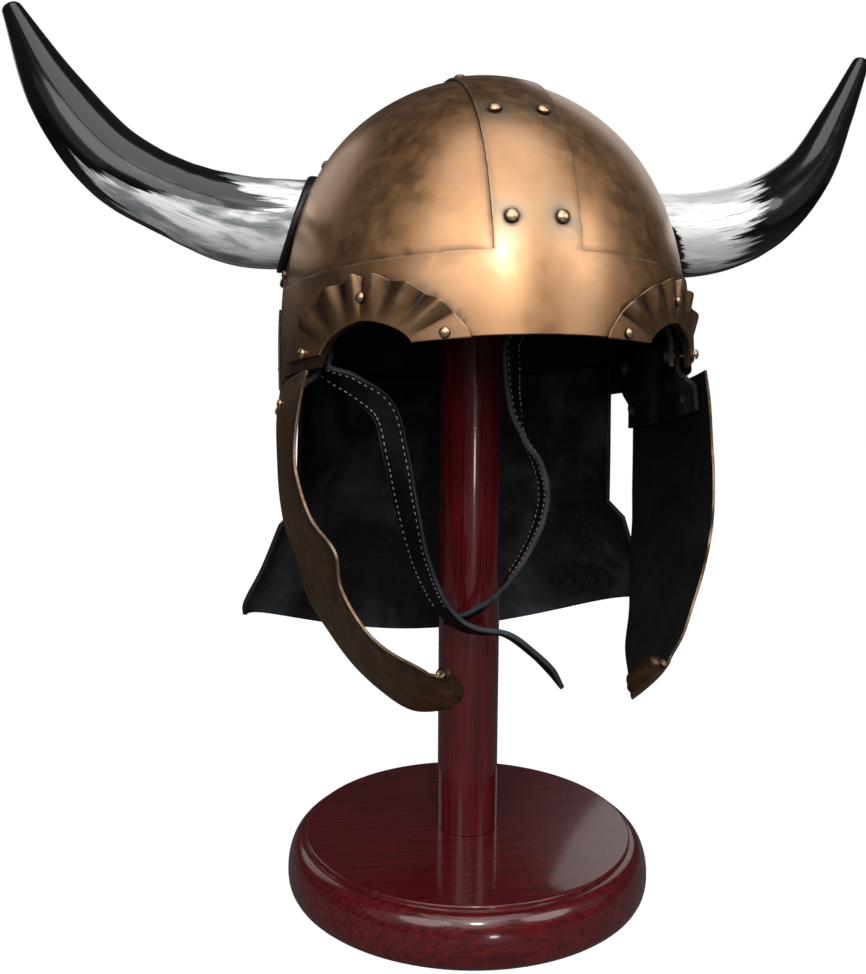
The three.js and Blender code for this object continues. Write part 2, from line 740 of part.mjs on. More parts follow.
const rightStrapRows = [
  { share: 0, side: 0, back: -1, rise: -6, turn: -21, width: 1 },
  { share: 0, side: 0, back: 0, rise: 0, turn: -21, width: 1 },
  { share: 0, side: -3, back: -1, rise: 14, turn: -15, width: 1 },
  { share: 0, side: -22, back: -1, rise: 27, turn: 0, width: 1 },
  { share: 0, side: -48, back: -1, rise: 30, turn: 5, width: 1 },
  { share: 0, side: -70, back: 0, rise: 22, turn: 30, width: 1 },
  { share: 0, side: -81, back: 0, rise: 7, turn: 50, width: 1 },
  { share: 0.035, side: -77.5, back: -1, rise: 0, turn: 52, width: 1 },
  { share: 0.153, side: -64.5, back: -4.5, rise: 0, turn: 40, width: 1 },
  { share: 0.28, side: -46, back: -5.5, rise: 0, turn: 12, width: 1 },
  { share: 0.37, side: -29, back: -5, rise: 0, turn: -2, width: 1 },
  { share: 0.48, side: -13, back: -5, rise: 0, turn: -2, width: 1 },
  { share: 0.58, side: -4, back: -6, rise: 0, turn: 0, width: 1 },
  { share: 0.69, side: 2, back: -6, rise: 0, turn: 4, width: 1 },
  { share: 0.8, side: 5.5, back: -5, rise: 0, turn: 8, width: 0.95 },
  { share: 0.89, side: 6.5, back: -3, rise: 0, turn: 20, width: 0.8 },
  { share: 0.955, side: 4, back: 0.5, rise: 0, turn: 40, width: 0.6 },
  { share: 1, side: 0, back: 4, rise: 1, turn: 55, width: 0.5 },
  { share: 1, side: -8, back: 4.5, rise: 0, turn: 40, width: 0.45 },
];

function addChinStraps() {
  const standBores = bores.transform(helmet.matrix.toArray());
  const left = strapRoute(strapEnd(-1), leftStrapRows);
  for (const row of tailRows) {
    left.push(crossing.clone().add(new THREE.Vector3(
      row.reach * strapTailLength,
      row.back,
      -row.drop * strapTailLength,
    )));
  }
  const right = strapRoute(strapEnd(1), rightStrapRows);
  const strap = (points, rows, steps) => {
    const turns = rows.map((row) => row.turn);
    const widths = rows.map((row) => row.width * strapWidth);
    return fromManifold(toManifold(ribbon(points, turns, widths, steps)).subtract(standBores));
  };
  const leftRows = [...leftStrapRows, ...tailRows];
  addPiece(group, 'chin_strap_left', strap(left, leftRows, strapSteps + 8), strapLeather);
  addPiece(group, 'chin_strap_right', strap(right, rightStrapRows, strapSteps + 14), strapLeather);
}

// Horns: each is a little different, as real horns are

// Rows from the root to the tip. Out, back and rise are shares of the horn's spread, its reach
// backwards and its rise, and thick is a share of the root radius.
const hornRows = {
  left: [
    { out: 0, back: 0, rise: 0, thick: 0.99 },
    { out: 0.25, back: 0.12, rise: 0.01, thick: 1.03 },
    { out: 0.475, back: 0.31, rise: 0.118, thick: 0.89 },
    { out: 0.67, back: 0.58, rise: 0.282, thick: 0.85 },
    { out: 0.85, back: 0.84, rise: 0.6, thick: 0.67 },
    { out: 0.99, back: 1, rise: 0.99, thick: 0.24 },
  ],
  right: [
    { out: 0, back: 0, rise: -0.01, thick: 0.97 },
    { out: 0.27, back: 0.14, rise: -0.005, thick: 1.02 },
    { out: 0.52, back: 0.36, rise: 0.105, thick: 0.91 },
    { out: 0.735, back: 0.56, rise: 0.34, thick: 0.64 },
    { out: 0.88, back: 0.81, rise: 0.645, thick: 0.42 },
    { out: 1.004, back: 1, rise: 0.952, thick: 0.22 },
  ],
};
const hornRootInset = 12;

const hornRoot = () => crownPoint(Math.PI / 2, hornHeight, crossLayer.outer - hornRootInset);

function hornSolid(side, rows, extra) {
  const root = hornRoot();
  const centres = rows.map((row) => new THREE.Vector3(
    side * (root.x + row.out * (hornSpread + hornRootInset)),
    row.back * hornBack - hornForward,
    hornHeight + row.rise * hornRise,
  ));
  const curve = new THREE.CatmullRomCurve3(centres, false, 'centripetal');
  const thickness = new THREE.CatmullRomCurve3(
    rows.map((row) => new THREE.Vector3(row.thick * hornRootRadius, 0, 0)),
    false,
    'catmullrom',
  );
  const rings = [];
  const upright = new THREE.Vector3(0, 1, 0);
  const ringAt = (centre, tangent, radius) => {
    const across = upright.clone().addScaledVector(tangent, -upright.dot(tangent)).normalize();
    const up = tangent.clone().cross(across);
    const ring = [];
    for (let j = 0; j < hornSides; j += 1) {
      const turn = j * 2 * Math.PI / hornSides;
      ring.push(centre.clone().addScaledVector(across, radius * Math.cos(turn))
        .addScaledVector(up, radius * Math.sin(turn)));
    }
    return ring;
  };
  for (let i = 0; i <= hornSteps; i += 1) {
    const t = i / hornSteps;
    rings.push(ringAt(curve.getPoint(t), curve.getTangent(t), thickness.getPoint(t).x + extra));
  }
  const tipRadius = thickness.getPoint(1).x + extra;
  const end = curve.getTangent(1);
  const tip = curve.getPoint(1);
  rings.push(ringAt(tip.clone().addScaledVector(end, hornTipRound * 0.7), end, tipRadius * 0.6));
  return toManifold(ringSolid(rings, curve.getPoint(0), tip.clone().addScaledVector(end, hornTipRound)));
}

function addHorns() {
  const trimmer = crownCore(crossLayer.outer + seatGap);
  const ringReach = crownCore(crossLayer.outer + seatGap + hornRingWidth);
  for (const [side, sideName] of [[-1, 'left'], [1, 'right']]) {
    const rows = hornRows[sideName];
    const ring = hornSolid(side, rows, seatGap + hornRingWall)
      .subtract(hornSolid(side, rows, seatGap))
      .intersect(ringReach)
      .subtract(trimmer);
    const body = hornSolid(side, rows, 0).subtract(trimmer);
    addPiece(helmet, `horn_${sideName}`, fromManifold(body), horn);
    addPiece(helmet, `horn_ring_${sideName}`, fromManifold(ring), blackRing);
  }
}

// Rivets: domed heads on the outermost sheet, and through rivets with a washer inside

function placed(geometry, seat) {
  geometry.applyQuaternion(new THREE.Quaternion().setFromUnitVectors(
    new THREE.Vector3(0, 0, 1),
    seat.normal,
  ));
  geometry.translate(seat.point.x, seat.point.y, seat.point.z);
  return geometry;
}

function rivetHead(radius, height, seat) {
  return placed(lathe([
    [0, 0],
    [radius, 0],
    [radius * 0.96, height * 0.35],
    [radius * 0.6, height * 0.85],
    [0, height],
  ], rivetSides), seat);
}

const bandRivet = (seat) => rivetHead(bandRivetRadius, bandRivetHeight, seat);
const smallRivet = (seat) => rivetHead(smallRivetRadius, smallRivetHeight, seat);

function throughRivet(seat) {
  return placed(lathe([
    [0, -seat.depth - smallRivetHeight],
    [washerRadius, -seat.depth - washerThickness],
    [washerRadius, -seat.depth],
    [shankRadius, -seat.depth],
    [shankRadius, 0],
    [smallRivetRadius, 0],
    [smallRivetRadius * 0.75, smallRivetHeight * 0.7],
    [0, smallRivetHeight],
  ], rivetSides), seat);
}

function boreFor(seat) {
  const reach = 2 * smallRivetHeight;
  return tubeAlong(
    seat.point.clone().addScaledVector(seat.normal, reach),
    seat.point.clone().addScaledVector(seat.normal, -seat.depth - reach),
    shankRadius + seatGap,
    rivetSides,
  );
}

// Where the through rivets sit. Forward is the distance in front of the helmet's middle.
const hingeRivets = [
  { name: 'upper_front', left: 22.5, right: 22.5, height: 6.5, onGuard: false },
  { name: 'upper_rear', left: -36, right: -36, height: 7.5, onGuard: false },
  { name: 'lower_front', left: 22, right: 38, height: -17, onGuard: true },
  { name: 'lower_rear', left: -35, right: -35, height: -15, onGuard: true },
];

function throughSeats() {
  const seats = [];
  for (const [side, sideName] of [[-1, 'left'], [1, 'right']]) {
    for (const row of hingeRivets) {
      const forward = row[sideName];
      const underPlate = forward > crossBandFront || forward < -crossBandBack;
      const outside = row.onGuard ? seatGap : (underPlate ? plateLayer : crossLayer).outer + seatGap;
      const inside = row.onGuard ? guardInside : hingeInside;
      const seat = row.onGuard
        ? guardFrame(guardPosition(row.height), guardShare(forward), outside)
        : crownFrame(angleAt(forward, 0), row.height, outside);
      mirrored(seat.point, side);
      mirrored(seat.normal, side);
      seats.push({ name: `hinge_rivet_${row.name}_${sideName}`, depth: outside - inside, ...seat });
    }
    const outside = fanSeat + sheet + seatGap;
    const rear = crownFrame(side * strapRivetAngle, strapRivetHeight, outside);
    seats.push({ name: `strap_rivet_${sideName}`, depth: outside - strapInside, ...rear });
  }
  return seats;
}

// The crown's frame at a place given by its distance from the middle plane.
function bandSeat(side, aside, height, offset, facing) {
  const share = height / crownHeight;
  const radius = (1 - share ** crownUprightness) ** (1 / crownFullness);
  const angle = Math.asin(aside / (crownHalfWidth * radius));
  const turn = facing === 'front' ? angle : Math.PI - angle;
  return crownFrame(side * turn, height, offset);
}

function addBandRivets() {
  const onPlate = plateLayer.outer + seatGap;
  const aside = bandHalfWidth * 0.58;
  const frontRows = [
    { name: 'lower', height: browHeight + 14 },
    { name: 'upper', height: crownHeight * 0.71 },
    { name: 'crown', height: crownHeight * 0.978 },
  ];
  for (const [side, sideName] of [[-1, 'left'], [1, 'right']]) {
    for (const { name, height } of frontRows) {
      addPiece(helmet, `front_rivet_${name}_${sideName}`,
        bandRivet(bandSeat(side, aside, height, onPlate, 'front')), bronzeRivet);
    }
    for (const { name, height } of frontRows.slice(0, 2)) {
      addPiece(helmet, `rear_rivet_${name}_${sideName}`,
        bandRivet(bandSeat(side, aside, height, onPlate, 'rear')), bronzeRivet);
    }
  }
}

function addCrossRivets() {
  const onBand = crossLayer.outer + seatGap;
  const places = [
    { name: 'front_upper', forward: 12, height: hornHeight + hornRootRadius + 6 },
    { name: 'front_lower', forward: 10, height: hornHeight - hornRootRadius - 6 },
    { name: 'rear_upper', forward: -12, height: hornHeight + hornRootRadius + 6 },
    { name: 'rear_lower', forward: -10, height: hornHeight - hornRootRadius - 6 },
  ];
  for (const [side, sideName] of [[-1, 'left'], [1, 'right']]) {
    for (const { name, forward, height } of places) {
      const seat = crownFrame(side * angleAt(forward, height), height, onBand);
      addPiece(helmet, `horn_rivet_${name}_${sideName}`, smallRivet(seat), bronzeRivet);
    }
  }
}

function addFanRivets() {
  const valley = fluteStart + 3 * flutePitch;
  const places = [
    { name: 'front', turn: (Math.PI + fluteEnd) / 2, share: 0.62 },
    { name: 'middle', turn: valley, share: 0.52 },
  ];
  for (const [side, sideName] of [[-1, 'left'], [1, 'right']]) {
    for (const { name, turn, share } of places) {
      const flank = fluteRise(turn + flutePitch / 4, share);
      const seat = fanFrame(side, turn, share, fanSeat + sheet + seatGap + flank);
      addPiece(helmet, `fan_rivet_${name}_${sideName}`, smallRivet(seat), bronzeRivet);
    }
  }
}

function addThroughRivets() {
  for (const seat of throughSeats()) addPiece(helmet, seat.name, throughRivet(seat), bronzeRivet);
}

function addNeckRivets() {
  const spread = 48 * degree;
  const count = 3;
  for (let i = 0; i < count; i += 1) {
    const angle = Math.PI + (2 * i / (count - 1) - 1) * spread;
    const seat = crownFrame(angle, 4, plateLayer.outer + seatGap);
    addPiece(helmet, `neck_rivet_${i + 1}`, smallRivet(seat), bronzeRivet);
  }
}

// Stand: a turned base with a lip and a rounded shoulder, and a round post

function addStand() {
  const shoulderTop = baseThickness - baseLipDepth;
  const shoulder = new THREE.EllipseCurve(
    baseTopRadius + baseLipWidth / 2, basePlinthHeight,
    baseRadius - baseTopRadius - baseLipWidth / 2, shoulderTop - basePlinthHeight,
    Math.PI / 2, 0, true,
  );
  const rounded = shoulder.getPoints(6).map((point) => [point.x, point.y]);
  const profile = [
    [0, baseThickness],
    [baseTopRadius - baseLipWidth, baseThickness],
    [baseTopRadius, baseThickness - baseLipWidth],
    [baseTopRadius, shoulderTop + 0.4],
    ...rounded,
    [baseRadius - 0.5, basePlinthHeight * 0.35],
    [baseRadius - baseFootInset, 0],
    [0, 0],
  ];
  addPiece(group, 'stand_base', lathe(profile.reverse(), standSides), wood);

  // Height of the crown's inner face over a point of the middle plane, found by stepping along it.
  const underside = (y) => {
    let best = null;
    for (let i = 0; i <= 400; i += 1) {
      const height = crownHeight * (1 - (i / 400) ** 2 * 0.3);
      for (const angle of [0, Math.PI]) {
        const point = inStandFrame(crownPoint(angle, height, crossLayer.inner));
        const miss = Math.abs(point.y - y);
        if (best === null || miss < best.miss) best = { miss, height: point.z };
      }
    }
    return best.height;
  };
  // The domed top of the post touches that face where the face slopes as the dome does.
  const probe = postRadius / 3;
  const slope = Math.atan((underside(-probe) - underside(probe)) / (2 * probe));
  const clear = postCrownRadius + seatGap + facetAllowance * 0.6;
  const top = underside(0) + postCrownRadius - clear / Math.cos(slope);
  const foot = baseThickness + seatGap;
  const edgeAngle = Math.asin((postRadius - postEdgeRound * 0.3) / postCrownRadius);
  const cap = [];
  for (let i = 0; i <= 4; i += 1) {
    const turn = edgeAngle * i / 4;
    cap.push([postCrownRadius * Math.sin(turn), top - postCrownRadius * (1 - Math.cos(turn))]);
  }
  const postProfile = [
    ...cap,
    [postRadius, cap[4][1] - postEdgeRound],
    [postRadius, foot],
    [0, foot],
  ];
  addPiece(group, 'stand_post', lathe(postProfile.reverse(), postSides), wood);
}

bores = wasm.Manifold.union(throughSeats().map(boreFor));
addStand();
addCrownPanels();
addCrossBand();
addPlates();
addFans();
addGuards();
addHinges();
addNeckGuard();
addChinStraps();
addHorns();
addBandRivets();
addCrossRivets();
addFanRivets();
addThroughRivets();
addNeckRivets();

export default group;
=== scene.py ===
import math

import bpy
from mathutils import Matrix, Vector, noise


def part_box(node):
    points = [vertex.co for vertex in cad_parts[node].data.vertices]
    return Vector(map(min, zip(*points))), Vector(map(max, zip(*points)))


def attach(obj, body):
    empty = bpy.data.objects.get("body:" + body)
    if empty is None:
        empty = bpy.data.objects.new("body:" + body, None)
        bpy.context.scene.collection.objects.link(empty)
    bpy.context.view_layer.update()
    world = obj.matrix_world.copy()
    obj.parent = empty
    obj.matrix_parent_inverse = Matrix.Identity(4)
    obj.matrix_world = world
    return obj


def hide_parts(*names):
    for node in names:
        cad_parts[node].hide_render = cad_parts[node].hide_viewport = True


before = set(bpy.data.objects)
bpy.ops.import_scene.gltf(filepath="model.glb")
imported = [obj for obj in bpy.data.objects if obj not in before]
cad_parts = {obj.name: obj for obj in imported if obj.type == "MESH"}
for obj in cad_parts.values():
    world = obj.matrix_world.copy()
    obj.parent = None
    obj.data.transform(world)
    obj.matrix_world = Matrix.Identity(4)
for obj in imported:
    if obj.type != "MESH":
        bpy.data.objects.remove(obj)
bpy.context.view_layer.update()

# A horned sheet-metal helmet on a turned wooden stand. Sizes are in millimetres, as in the
# part's source, and every mesh is turned into metres as it is made.

MM = 0.001

# How the helmet sits on the stand
TILT_BACK = math.radians(9.6)
HELMET_FORWARD = 19.5
RIM_HEIGHT = 289

# Crown
CROWN_HALF_WIDTH = 105
CROWN_HALF_LENGTH = 118
CROWN_HEIGHT = 149.5
CROWN_UPRIGHTNESS = 2.9
CROWN_FULLNESS = 1.75
SIDE_DROP = 5
WALL_TOP = 100
SHEET = 1.2
BROW_HEIGHT = 38
BROW_ARCH = 1.5
BAND_HALF_WIDTH = 19
PANEL_LAP = 9
CROSS_BAND_EDGE = 26
CROSS_BAND_LAP = 8
PLATE_JOINT = 0.5

# Temple arches and fans
ARCH_ANGLE = math.radians(43)
ARCH_HALF_WIDTH = 25.5
ARCH_HEIGHT = 12
ARCH_POWER = 1.55
FAN_HALF_FRONT = 52
FAN_HALF_REAR = 57
FAN_HEIGHT = 31
FAN_FOOT = math.radians(2)
FLUTES = 6
FLUTE_START = math.radians(36)
FLUTE_PITCH = math.radians(19.6)
FLUTE_ROOT_START = math.radians(22)
FLUTE_ROOT_PITCH = math.radians(24)
FLUTE_DEPTH = 3
FLUTE_SCALLOP = 1.2

# Distances of the layers' outer faces from the panels' outer face
PLATE_OUTER = 1.5
CROSS_OUTER = -1.5
FAN_OUTER = 3.0
HINGE_OUTER = -3.9
HINGE_INNER = -7.15
STRAP_MIDDLE = -8.45
STRAP_INNER = -10.5
NECK_OUTER = -1.95
GUARD_LEATHER_OUTER = -1.95
GUARD_INNER = -5.2
RIVET_GAP = 0.3

# Cheek guards
GUARD_TOP = -7
GUARD_DROP = 154
GUARD_BULGE = 5
TIP_ROLL = 3.8

# Leather
LEATHER = 2.5
HINGE_TOP = 15
HINGE_LOW = -24
HINGE_FRONT = 55
HINGE_BACK = 41
NECK_ANGLE = math.radians(117)

# Chin strap
STRAP_WIDTH = 12.5
STRAP_THICKNESS = 2.6
STRAP_RIVET_ANGLE = math.radians(63)
STRAP_RIVET_HEIGHT = 2.5
CROSSING = Vector((-11, -27.5, 157))
TAIL_LENGTH = 66
STITCH_INSET = 1.9
STITCH_PITCH = 2.9

# Horns
HORN_HEIGHT = 77
HORN_REACH = 152
HORN_BACK = 16
HORN_FORWARD = 1.4
HORN_RISE = 111
HORN_ROOT_RADIUS = 22
HORN_TIP_ROUND = 3
HORN_ROOT_INSET = 12
HORN_SEAT = -1.2
HORN_WAVE = 0.1
HORN_SIDES = 56
HORN_GREYNESS = {"left": 0.85, "right": 0.35}
DARK_ROOT = 0.03
RING_WIDTH = 4
RING_WALL = 1.7

# Rivets: radius and height of the heads, and the rows' heights on the bands
BAND_RIVET = (3.3, 2.2)
BAND_RIVET_ASIDE = BAND_HALF_WIDTH * 0.58
SMALL_RIVET = (2.5, 1.8)
LOWER_RIVETS = BROW_HEIGHT + 14
UPPER_RIVETS = CROWN_HEIGHT * 0.71
CROWN_RIVETS = CROWN_HEIGHT * 0.978
WASHER_RADIUS = 3.6
WASHER_THICKNESS = 0.8
SHANK_RADIUS = 1.3

# Stand
BASE_RADIUS = 102.5
BASE_TOP_RADIUS = 92.5
BASE_THICKNESS = 30
POST_RADIUS = 17

# Names of the sides as seen from the front, and of the two faces, by the sign of x and y
SIDES = {-1: "left", 1: "right"}
FACES = {-1: "front", 1: "rear"}


# Camera at the photograph's place, found by fitting the helmet's and the stand's outlines

CAMERA_PLACE = Vector((-130.9, -585.7, 311.55)) * MM
CAMERA_AZIMUTH = math.radians(10.632)
CAMERA_PITCH = math.radians(8.1155)
CAMERA_ROLL = math.radians(-0.3225)
CAMERA_LENS = 40.548


def add_camera():
    forward = Vector((
        math.sin(CAMERA_AZIMUTH) * math.cos(CAMERA_PITCH),
        math.cos(CAMERA_AZIMUTH) * math.cos(CAMERA_PITCH),
        -math.sin(CAMERA_PITCH),
    ))
    level = Vector((math.cos(CAMERA_AZIMUTH), -math.sin(CAMERA_AZIMUTH), 0))
    upright = level.cross(forward)
    right = level * math.cos(CAMERA_ROLL) - upright * math.sin(CAMERA_ROLL)
    up = level * math.sin(CAMERA_ROLL) + upright * math.cos(CAMERA_ROLL)
    bpy.ops.object.camera_add()
    camera = bpy.context.object
    camera.name = "camera"
    turn = Matrix((right, up, -forward)).transposed()
    camera.matrix_world = Matrix.Translation(CAMERA_PLACE) @ turn.to_4x4()
    camera.data.lens = CAMERA_LENS
    camera.data.sensor_width = 36
    camera.data.clip_start = 0.01
    camera.data.clip_end = 100
    bpy.context.scene.camera = camera


# Small tools

helmet_place = Matrix.Translation((0, -HELMET_FORWARD, RIM_HEIGHT)) @ Matrix.Rotation(-TILT_BACK, 4, "X")
helmet_turn = helmet_place.to_3x3()
helmet_back = helmet_place.inverted()


def mix(a, b, share):
    return a + (b - a) * share


def ease(share):
    share = min(max(share, 0), 1)
    return share * share * (3 - 2 * share)


def steps_between(low, high, count, loops=()):
    """Even steps from low to high, with extra ones at given distances from both ends."""
    values = [mix(low, high, k / count) for k in range(count + 1)]
    sign = 1 if high > low else -1
    margin = max(loops, default=0) * 1.3
    kept = [v for v in values[1:-1] if min(abs(v - low), abs(v - high)) > margin]
    near = [low + sign * d for d in loops] + [high - sign * d for d in loops]
    return sorted([low, high, *kept, *near], reverse=sign < 0)


def spline(rows, position):
    """Catmull-Rom blend of rows of numbers, at a position counted in rows."""
    last = len(rows) - 1
    index = min(max(int(position), 0), last - 1)
    t = position - index
    p1, p2 = rows[index], rows[index + 1]
    p0 = rows[index - 1] if index > 0 else [2 * a - b for a, b in zip(p1, p2)]
    p3 = rows[index + 2] if index + 2 <= last else [2 * b - a for a, b in zip(p1, p2)]
    blended = []
    for a, b, c, d in zip(p0, p1, p2, p3):
        m1, m2 = (c - a) / 2, (d - b) / 2
        blended.append(b + m1 * t + (3 * (c - b) - 2 * m1 - m2) * t ** 2 + (2 * (b - c) + m1 + m2) * t ** 3)
    return blended


class CentripetalCurve:
    """A smooth curve through points, with its knots spaced by the root of their distance."""

    def __init__(self, points):
        self.points = [Vector(p) for p in points]

    def at(self, t):
        points = self.points
        place = (len(points) - 1) * t
        index = min(int(place), len(points) - 2)
        w = place - index
        p1, p2 = points[index], points[index + 1]
        p0 = points[index - 1] if index > 0 else 2 * p1 - p2
        p3 = points[index + 2] if index + 2 < len(points) else 2 * p2 - p1
        d0, d1, d2 = ((b - a).length ** 0.5 for a, b in ((p0, p1), (p1, p2), (p2, p3)))
        m1 = ((p1 - p0) / d0 - (p2 - p0) / (d0 + d1) + (p2 - p1) / d1) * d1
        m2 = ((p2 - p1) / d1 - (p3 - p1) / (d1 + d2) + (p3 - p2) / d2) * d1
        return (p1 + m1 * w + (3 * (p2 - p1) - 2 * m1 - m2) * w ** 2
                + (2 * (p1 - p2) + m1 + m2) * w ** 3)

    def tangent(self, t):
        step = 1e-4
        low, high = max(t - step, 0), min(t + step, 1)
        return (self.at(high) - self.at(low)).normalized()


def select_only(piece):
    bpy.ops.object.select_all(action="DESELECT")
    piece.select_set(True)
    bpy.context.view_layer.objects.active = piece


def in_edit_mode(piece, *work):
    """Runs mesh operators, each given as (operator, its settings), on the whole of a piece."""
    select_only(piece)
    bpy.ops.object.mode_set(mode="EDIT")
    for operator, settings in work:
        bpy.ops.mesh.select_all(action="SELECT")
        operator(**settings)
    bpy.ops.object.mode_set(mode="OBJECT")


def grid_sheet(columns, rows, place, finishes, finish_of=None, marks=None):
    """A grid primitive whose vertices are moved to place(column, row), in millimetres.

    marks are the vertex attributes: what gives the value for a column and row, by name. All
    are numbers, but "fibres" is a place.
    """
    bpy.ops.object.select_all(action="DESELECT")
    bpy.ops.mesh.primitive_grid_add(x_subdivisions=columns, y_subdivisions=rows, size=2)
    piece = bpy.context.object
    for finish in finishes:
        piece.data.materials.append(finish)
    spots = [
        (round((v.co.x + 1) / 2 * columns), round((v.co.y + 1) / 2 * rows)) for v in piece.data.vertices
    ]
    if finish_of:
        for face in piece.data.polygons:
            column = min(spots[k][0] for k in face.vertices)
            face.material_index = finish_of(column)
    for vertex, (i, j) in zip(piece.data.vertices, spots):
        vertex.co = place(i, j) * MM
    for name, value in (marks or {}).items():
        kind, key = ("FLOAT_VECTOR", "vector") if name == "fibres" else ("FLOAT", "value")
        attribute = piece.data.attributes.new(name, kind, "POINT")
        for entry, (i, j) in zip(attribute.data, spots):
            setattr(entry, key, value(i, j))
    return piece


def close_up(piece, distance, cap=False):
    """Merges doubles, closes open ends where asked, and turns every face outwards."""
    work = [(bpy.ops.mesh.remove_doubles, {"threshold": distance * MM})]
    if cap:
        work.append((bpy.ops.mesh.fill_holes, {"sides": 0}))
    in_edit_mode(piece, *work, (bpy.ops.mesh.normals_make_consistent, {"inside": False}))


def face_along(piece, outward):
    """Turns an open sheet over where it faces the wrong way. outward gives the right way."""
    mesh = piece.data
    total = sum(f.area * f.normal.dot(outward(f.center / MM)) for f in mesh.polygons)
    if total < 0:
        in_edit_mode(piece, (bpy.ops.mesh.flip_normals, {}))


def apply_modifier(piece, kind, **settings):
    select_only(piece)
    modifier = piece.modifiers.new(kind.lower(), kind)
    for key, value in settings.items():
        setattr(modifier, key, value)
    bpy.ops.object.modifier_apply(modifier=modifier.name)


def smooth(piece, angle=40):
    select_only(piece)
    bpy.ops.object.shade_smooth_by_angle(angle=math.radians(angle))


def make_wall(piece, outward, thickness, inner=0, rim=0, edge=0.2, segments=2, angle=40):
    """Gives an open sheet its thickness on the inner side, rounded edges and smooth shading.

    inner and rim count on from the outer face's finish.
    """
    face_along(piece, outward)
    apply_modifier(piece, "SOLIDIFY", thickness=thickness * MM, offset=-1, use_even_offset=True,
                   use_quality_normals=True, material_offset=inner, material_offset_rim=rim)
    apply_modifier(piece, "BEVEL", width=edge * MM, segments=segments, limit_method="ANGLE",
                   angle_limit=math.radians(50), use_clamp_overlap=True)
    smooth(piece, angle)


def join(pieces):
    bpy.ops.object.select_all(action="DESELECT")
    for piece in pieces:
        piece.select_set(True)
    bpy.context.view_layer.objects.active = pieces[0]
    bpy.ops.object.join()
    return pieces[0]


def mark(piece, name, measure):
    """Writes a number per vertex, worked out from its place in millimetres."""
    attribute = piece.data.attributes.new(name, "FLOAT", "POINT")
    attribute.data.foreach_set("value", [float(measure(v.co / MM)) for v in piece.data.vertices])


def in_helmet(measure):
    """Lets a measure read places in the helmet's own frame."""
    return lambda point: measure(helmet_back @ point)


def hand_over(piece, node):
    """The finished piece takes its name, rides on the body and stands for its node."""
    piece.name = "shown_" + node
    piece.data.name = piece.name
    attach(piece, "root")
    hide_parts(node)


# Finishes. Shared effects are node groups with named inputs and outputs.

def surface_group(name, **inputs):
    """A node group that gives a colour, a roughness and a height for a place.

    inputs are its other inputs and their usual values: three numbers for a colour, or one.
    """
    tree = bpy.data.node_groups.new(name, "ShaderNodeTree")
    tree.interface.new_socket(name="Vector", in_out="INPUT", socket_type="NodeSocketVector")
    for label, value in inputs.items():
        kind = "NodeSocketColor" if isinstance(value, tuple) else "NodeSocketFloat"
        socket = tree.interface.new_socket(name=label, in_out="INPUT", socket_type=kind)
        socket.default_value = plain_value(value)
    for label, kind in (("Color", "Color"), ("Roughness", "Float"), ("Height", "Float")):
        tree.interface.new_socket(name=label, in_out="OUTPUT", socket_type="NodeSocket" + kind)
    return tree, tree.nodes.new("NodeGroupInput").outputs, tree.nodes.new("NodeGroupOutput").inputs


def plain_value(value):
    """A number as it is, or a colour's three numbers with full cover added."""
    return (*value, 1) if isinstance(value, tuple) else value


def feed(tree, socket, value):
    if isinstance(value, bpy.types.NodeSocket):
        tree.links.new(value, socket)
    else:
        socket.default_value = plain_value(value)


def math_node(tree, operation, a, b=0.0, clamp=False):
    node = tree.nodes.new("ShaderNodeMath")
    node.operation = operation
    node.use_clamp = clamp
    feed(tree, node.inputs[0], a)
    feed(tree, node.inputs[1], b)
    return node.outputs[0]


def plus(tree, first, *others):
    for other in others:
        first = math_node(tree, "ADD", first, other)
    return first


def times(tree, a, b, clamp=False):
    return math_node(tree, "MULTIPLY", a, b, clamp)


def noise_node(tree, vector, scale, detail=3.0, roughness=0.55, distortion=0.0):
    node = tree.nodes.new("ShaderNodeTexNoise")
    feed(tree, node.inputs["Vector"], vector)
    node.inputs["Scale"].default_value = scale
    node.inputs["Detail"].default_value = detail
    node.inputs["Roughness"].default_value = roughness
    node.inputs["Distortion"].default_value = distortion
    return node.outputs["Fac"]


def spread(tree, value, low, high, new_low=0.0, new_high=1.0):
    node = tree.nodes.new("ShaderNodeMapRange")
    node.interpolation_type = "SMOOTHSTEP"
    feed(tree, node.inputs["Value"], value)
    for label, number in (("From Min", low), ("From Max", high), ("To Min", new_low), ("To Max", new_high)):
        node.inputs[label].default_value = number
    return node.outputs["Result"]


def blend_colour(tree, share, a, b):
    node = tree.nodes.new("ShaderNodeMix")
    node.data_type = "RGBA"
    feed(tree, node.inputs[0], share)
    feed(tree, node.inputs[6], a)
    feed(tree, node.inputs[7], b)
    return node.outputs[2]


def stretched(tree, vector, scale):
    node = tree.nodes.new("ShaderNodeMapping")
    feed(tree, node.inputs["Vector"], vector)
    node.inputs["Scale"].default_value = scale
    return node.outputs["Vector"]


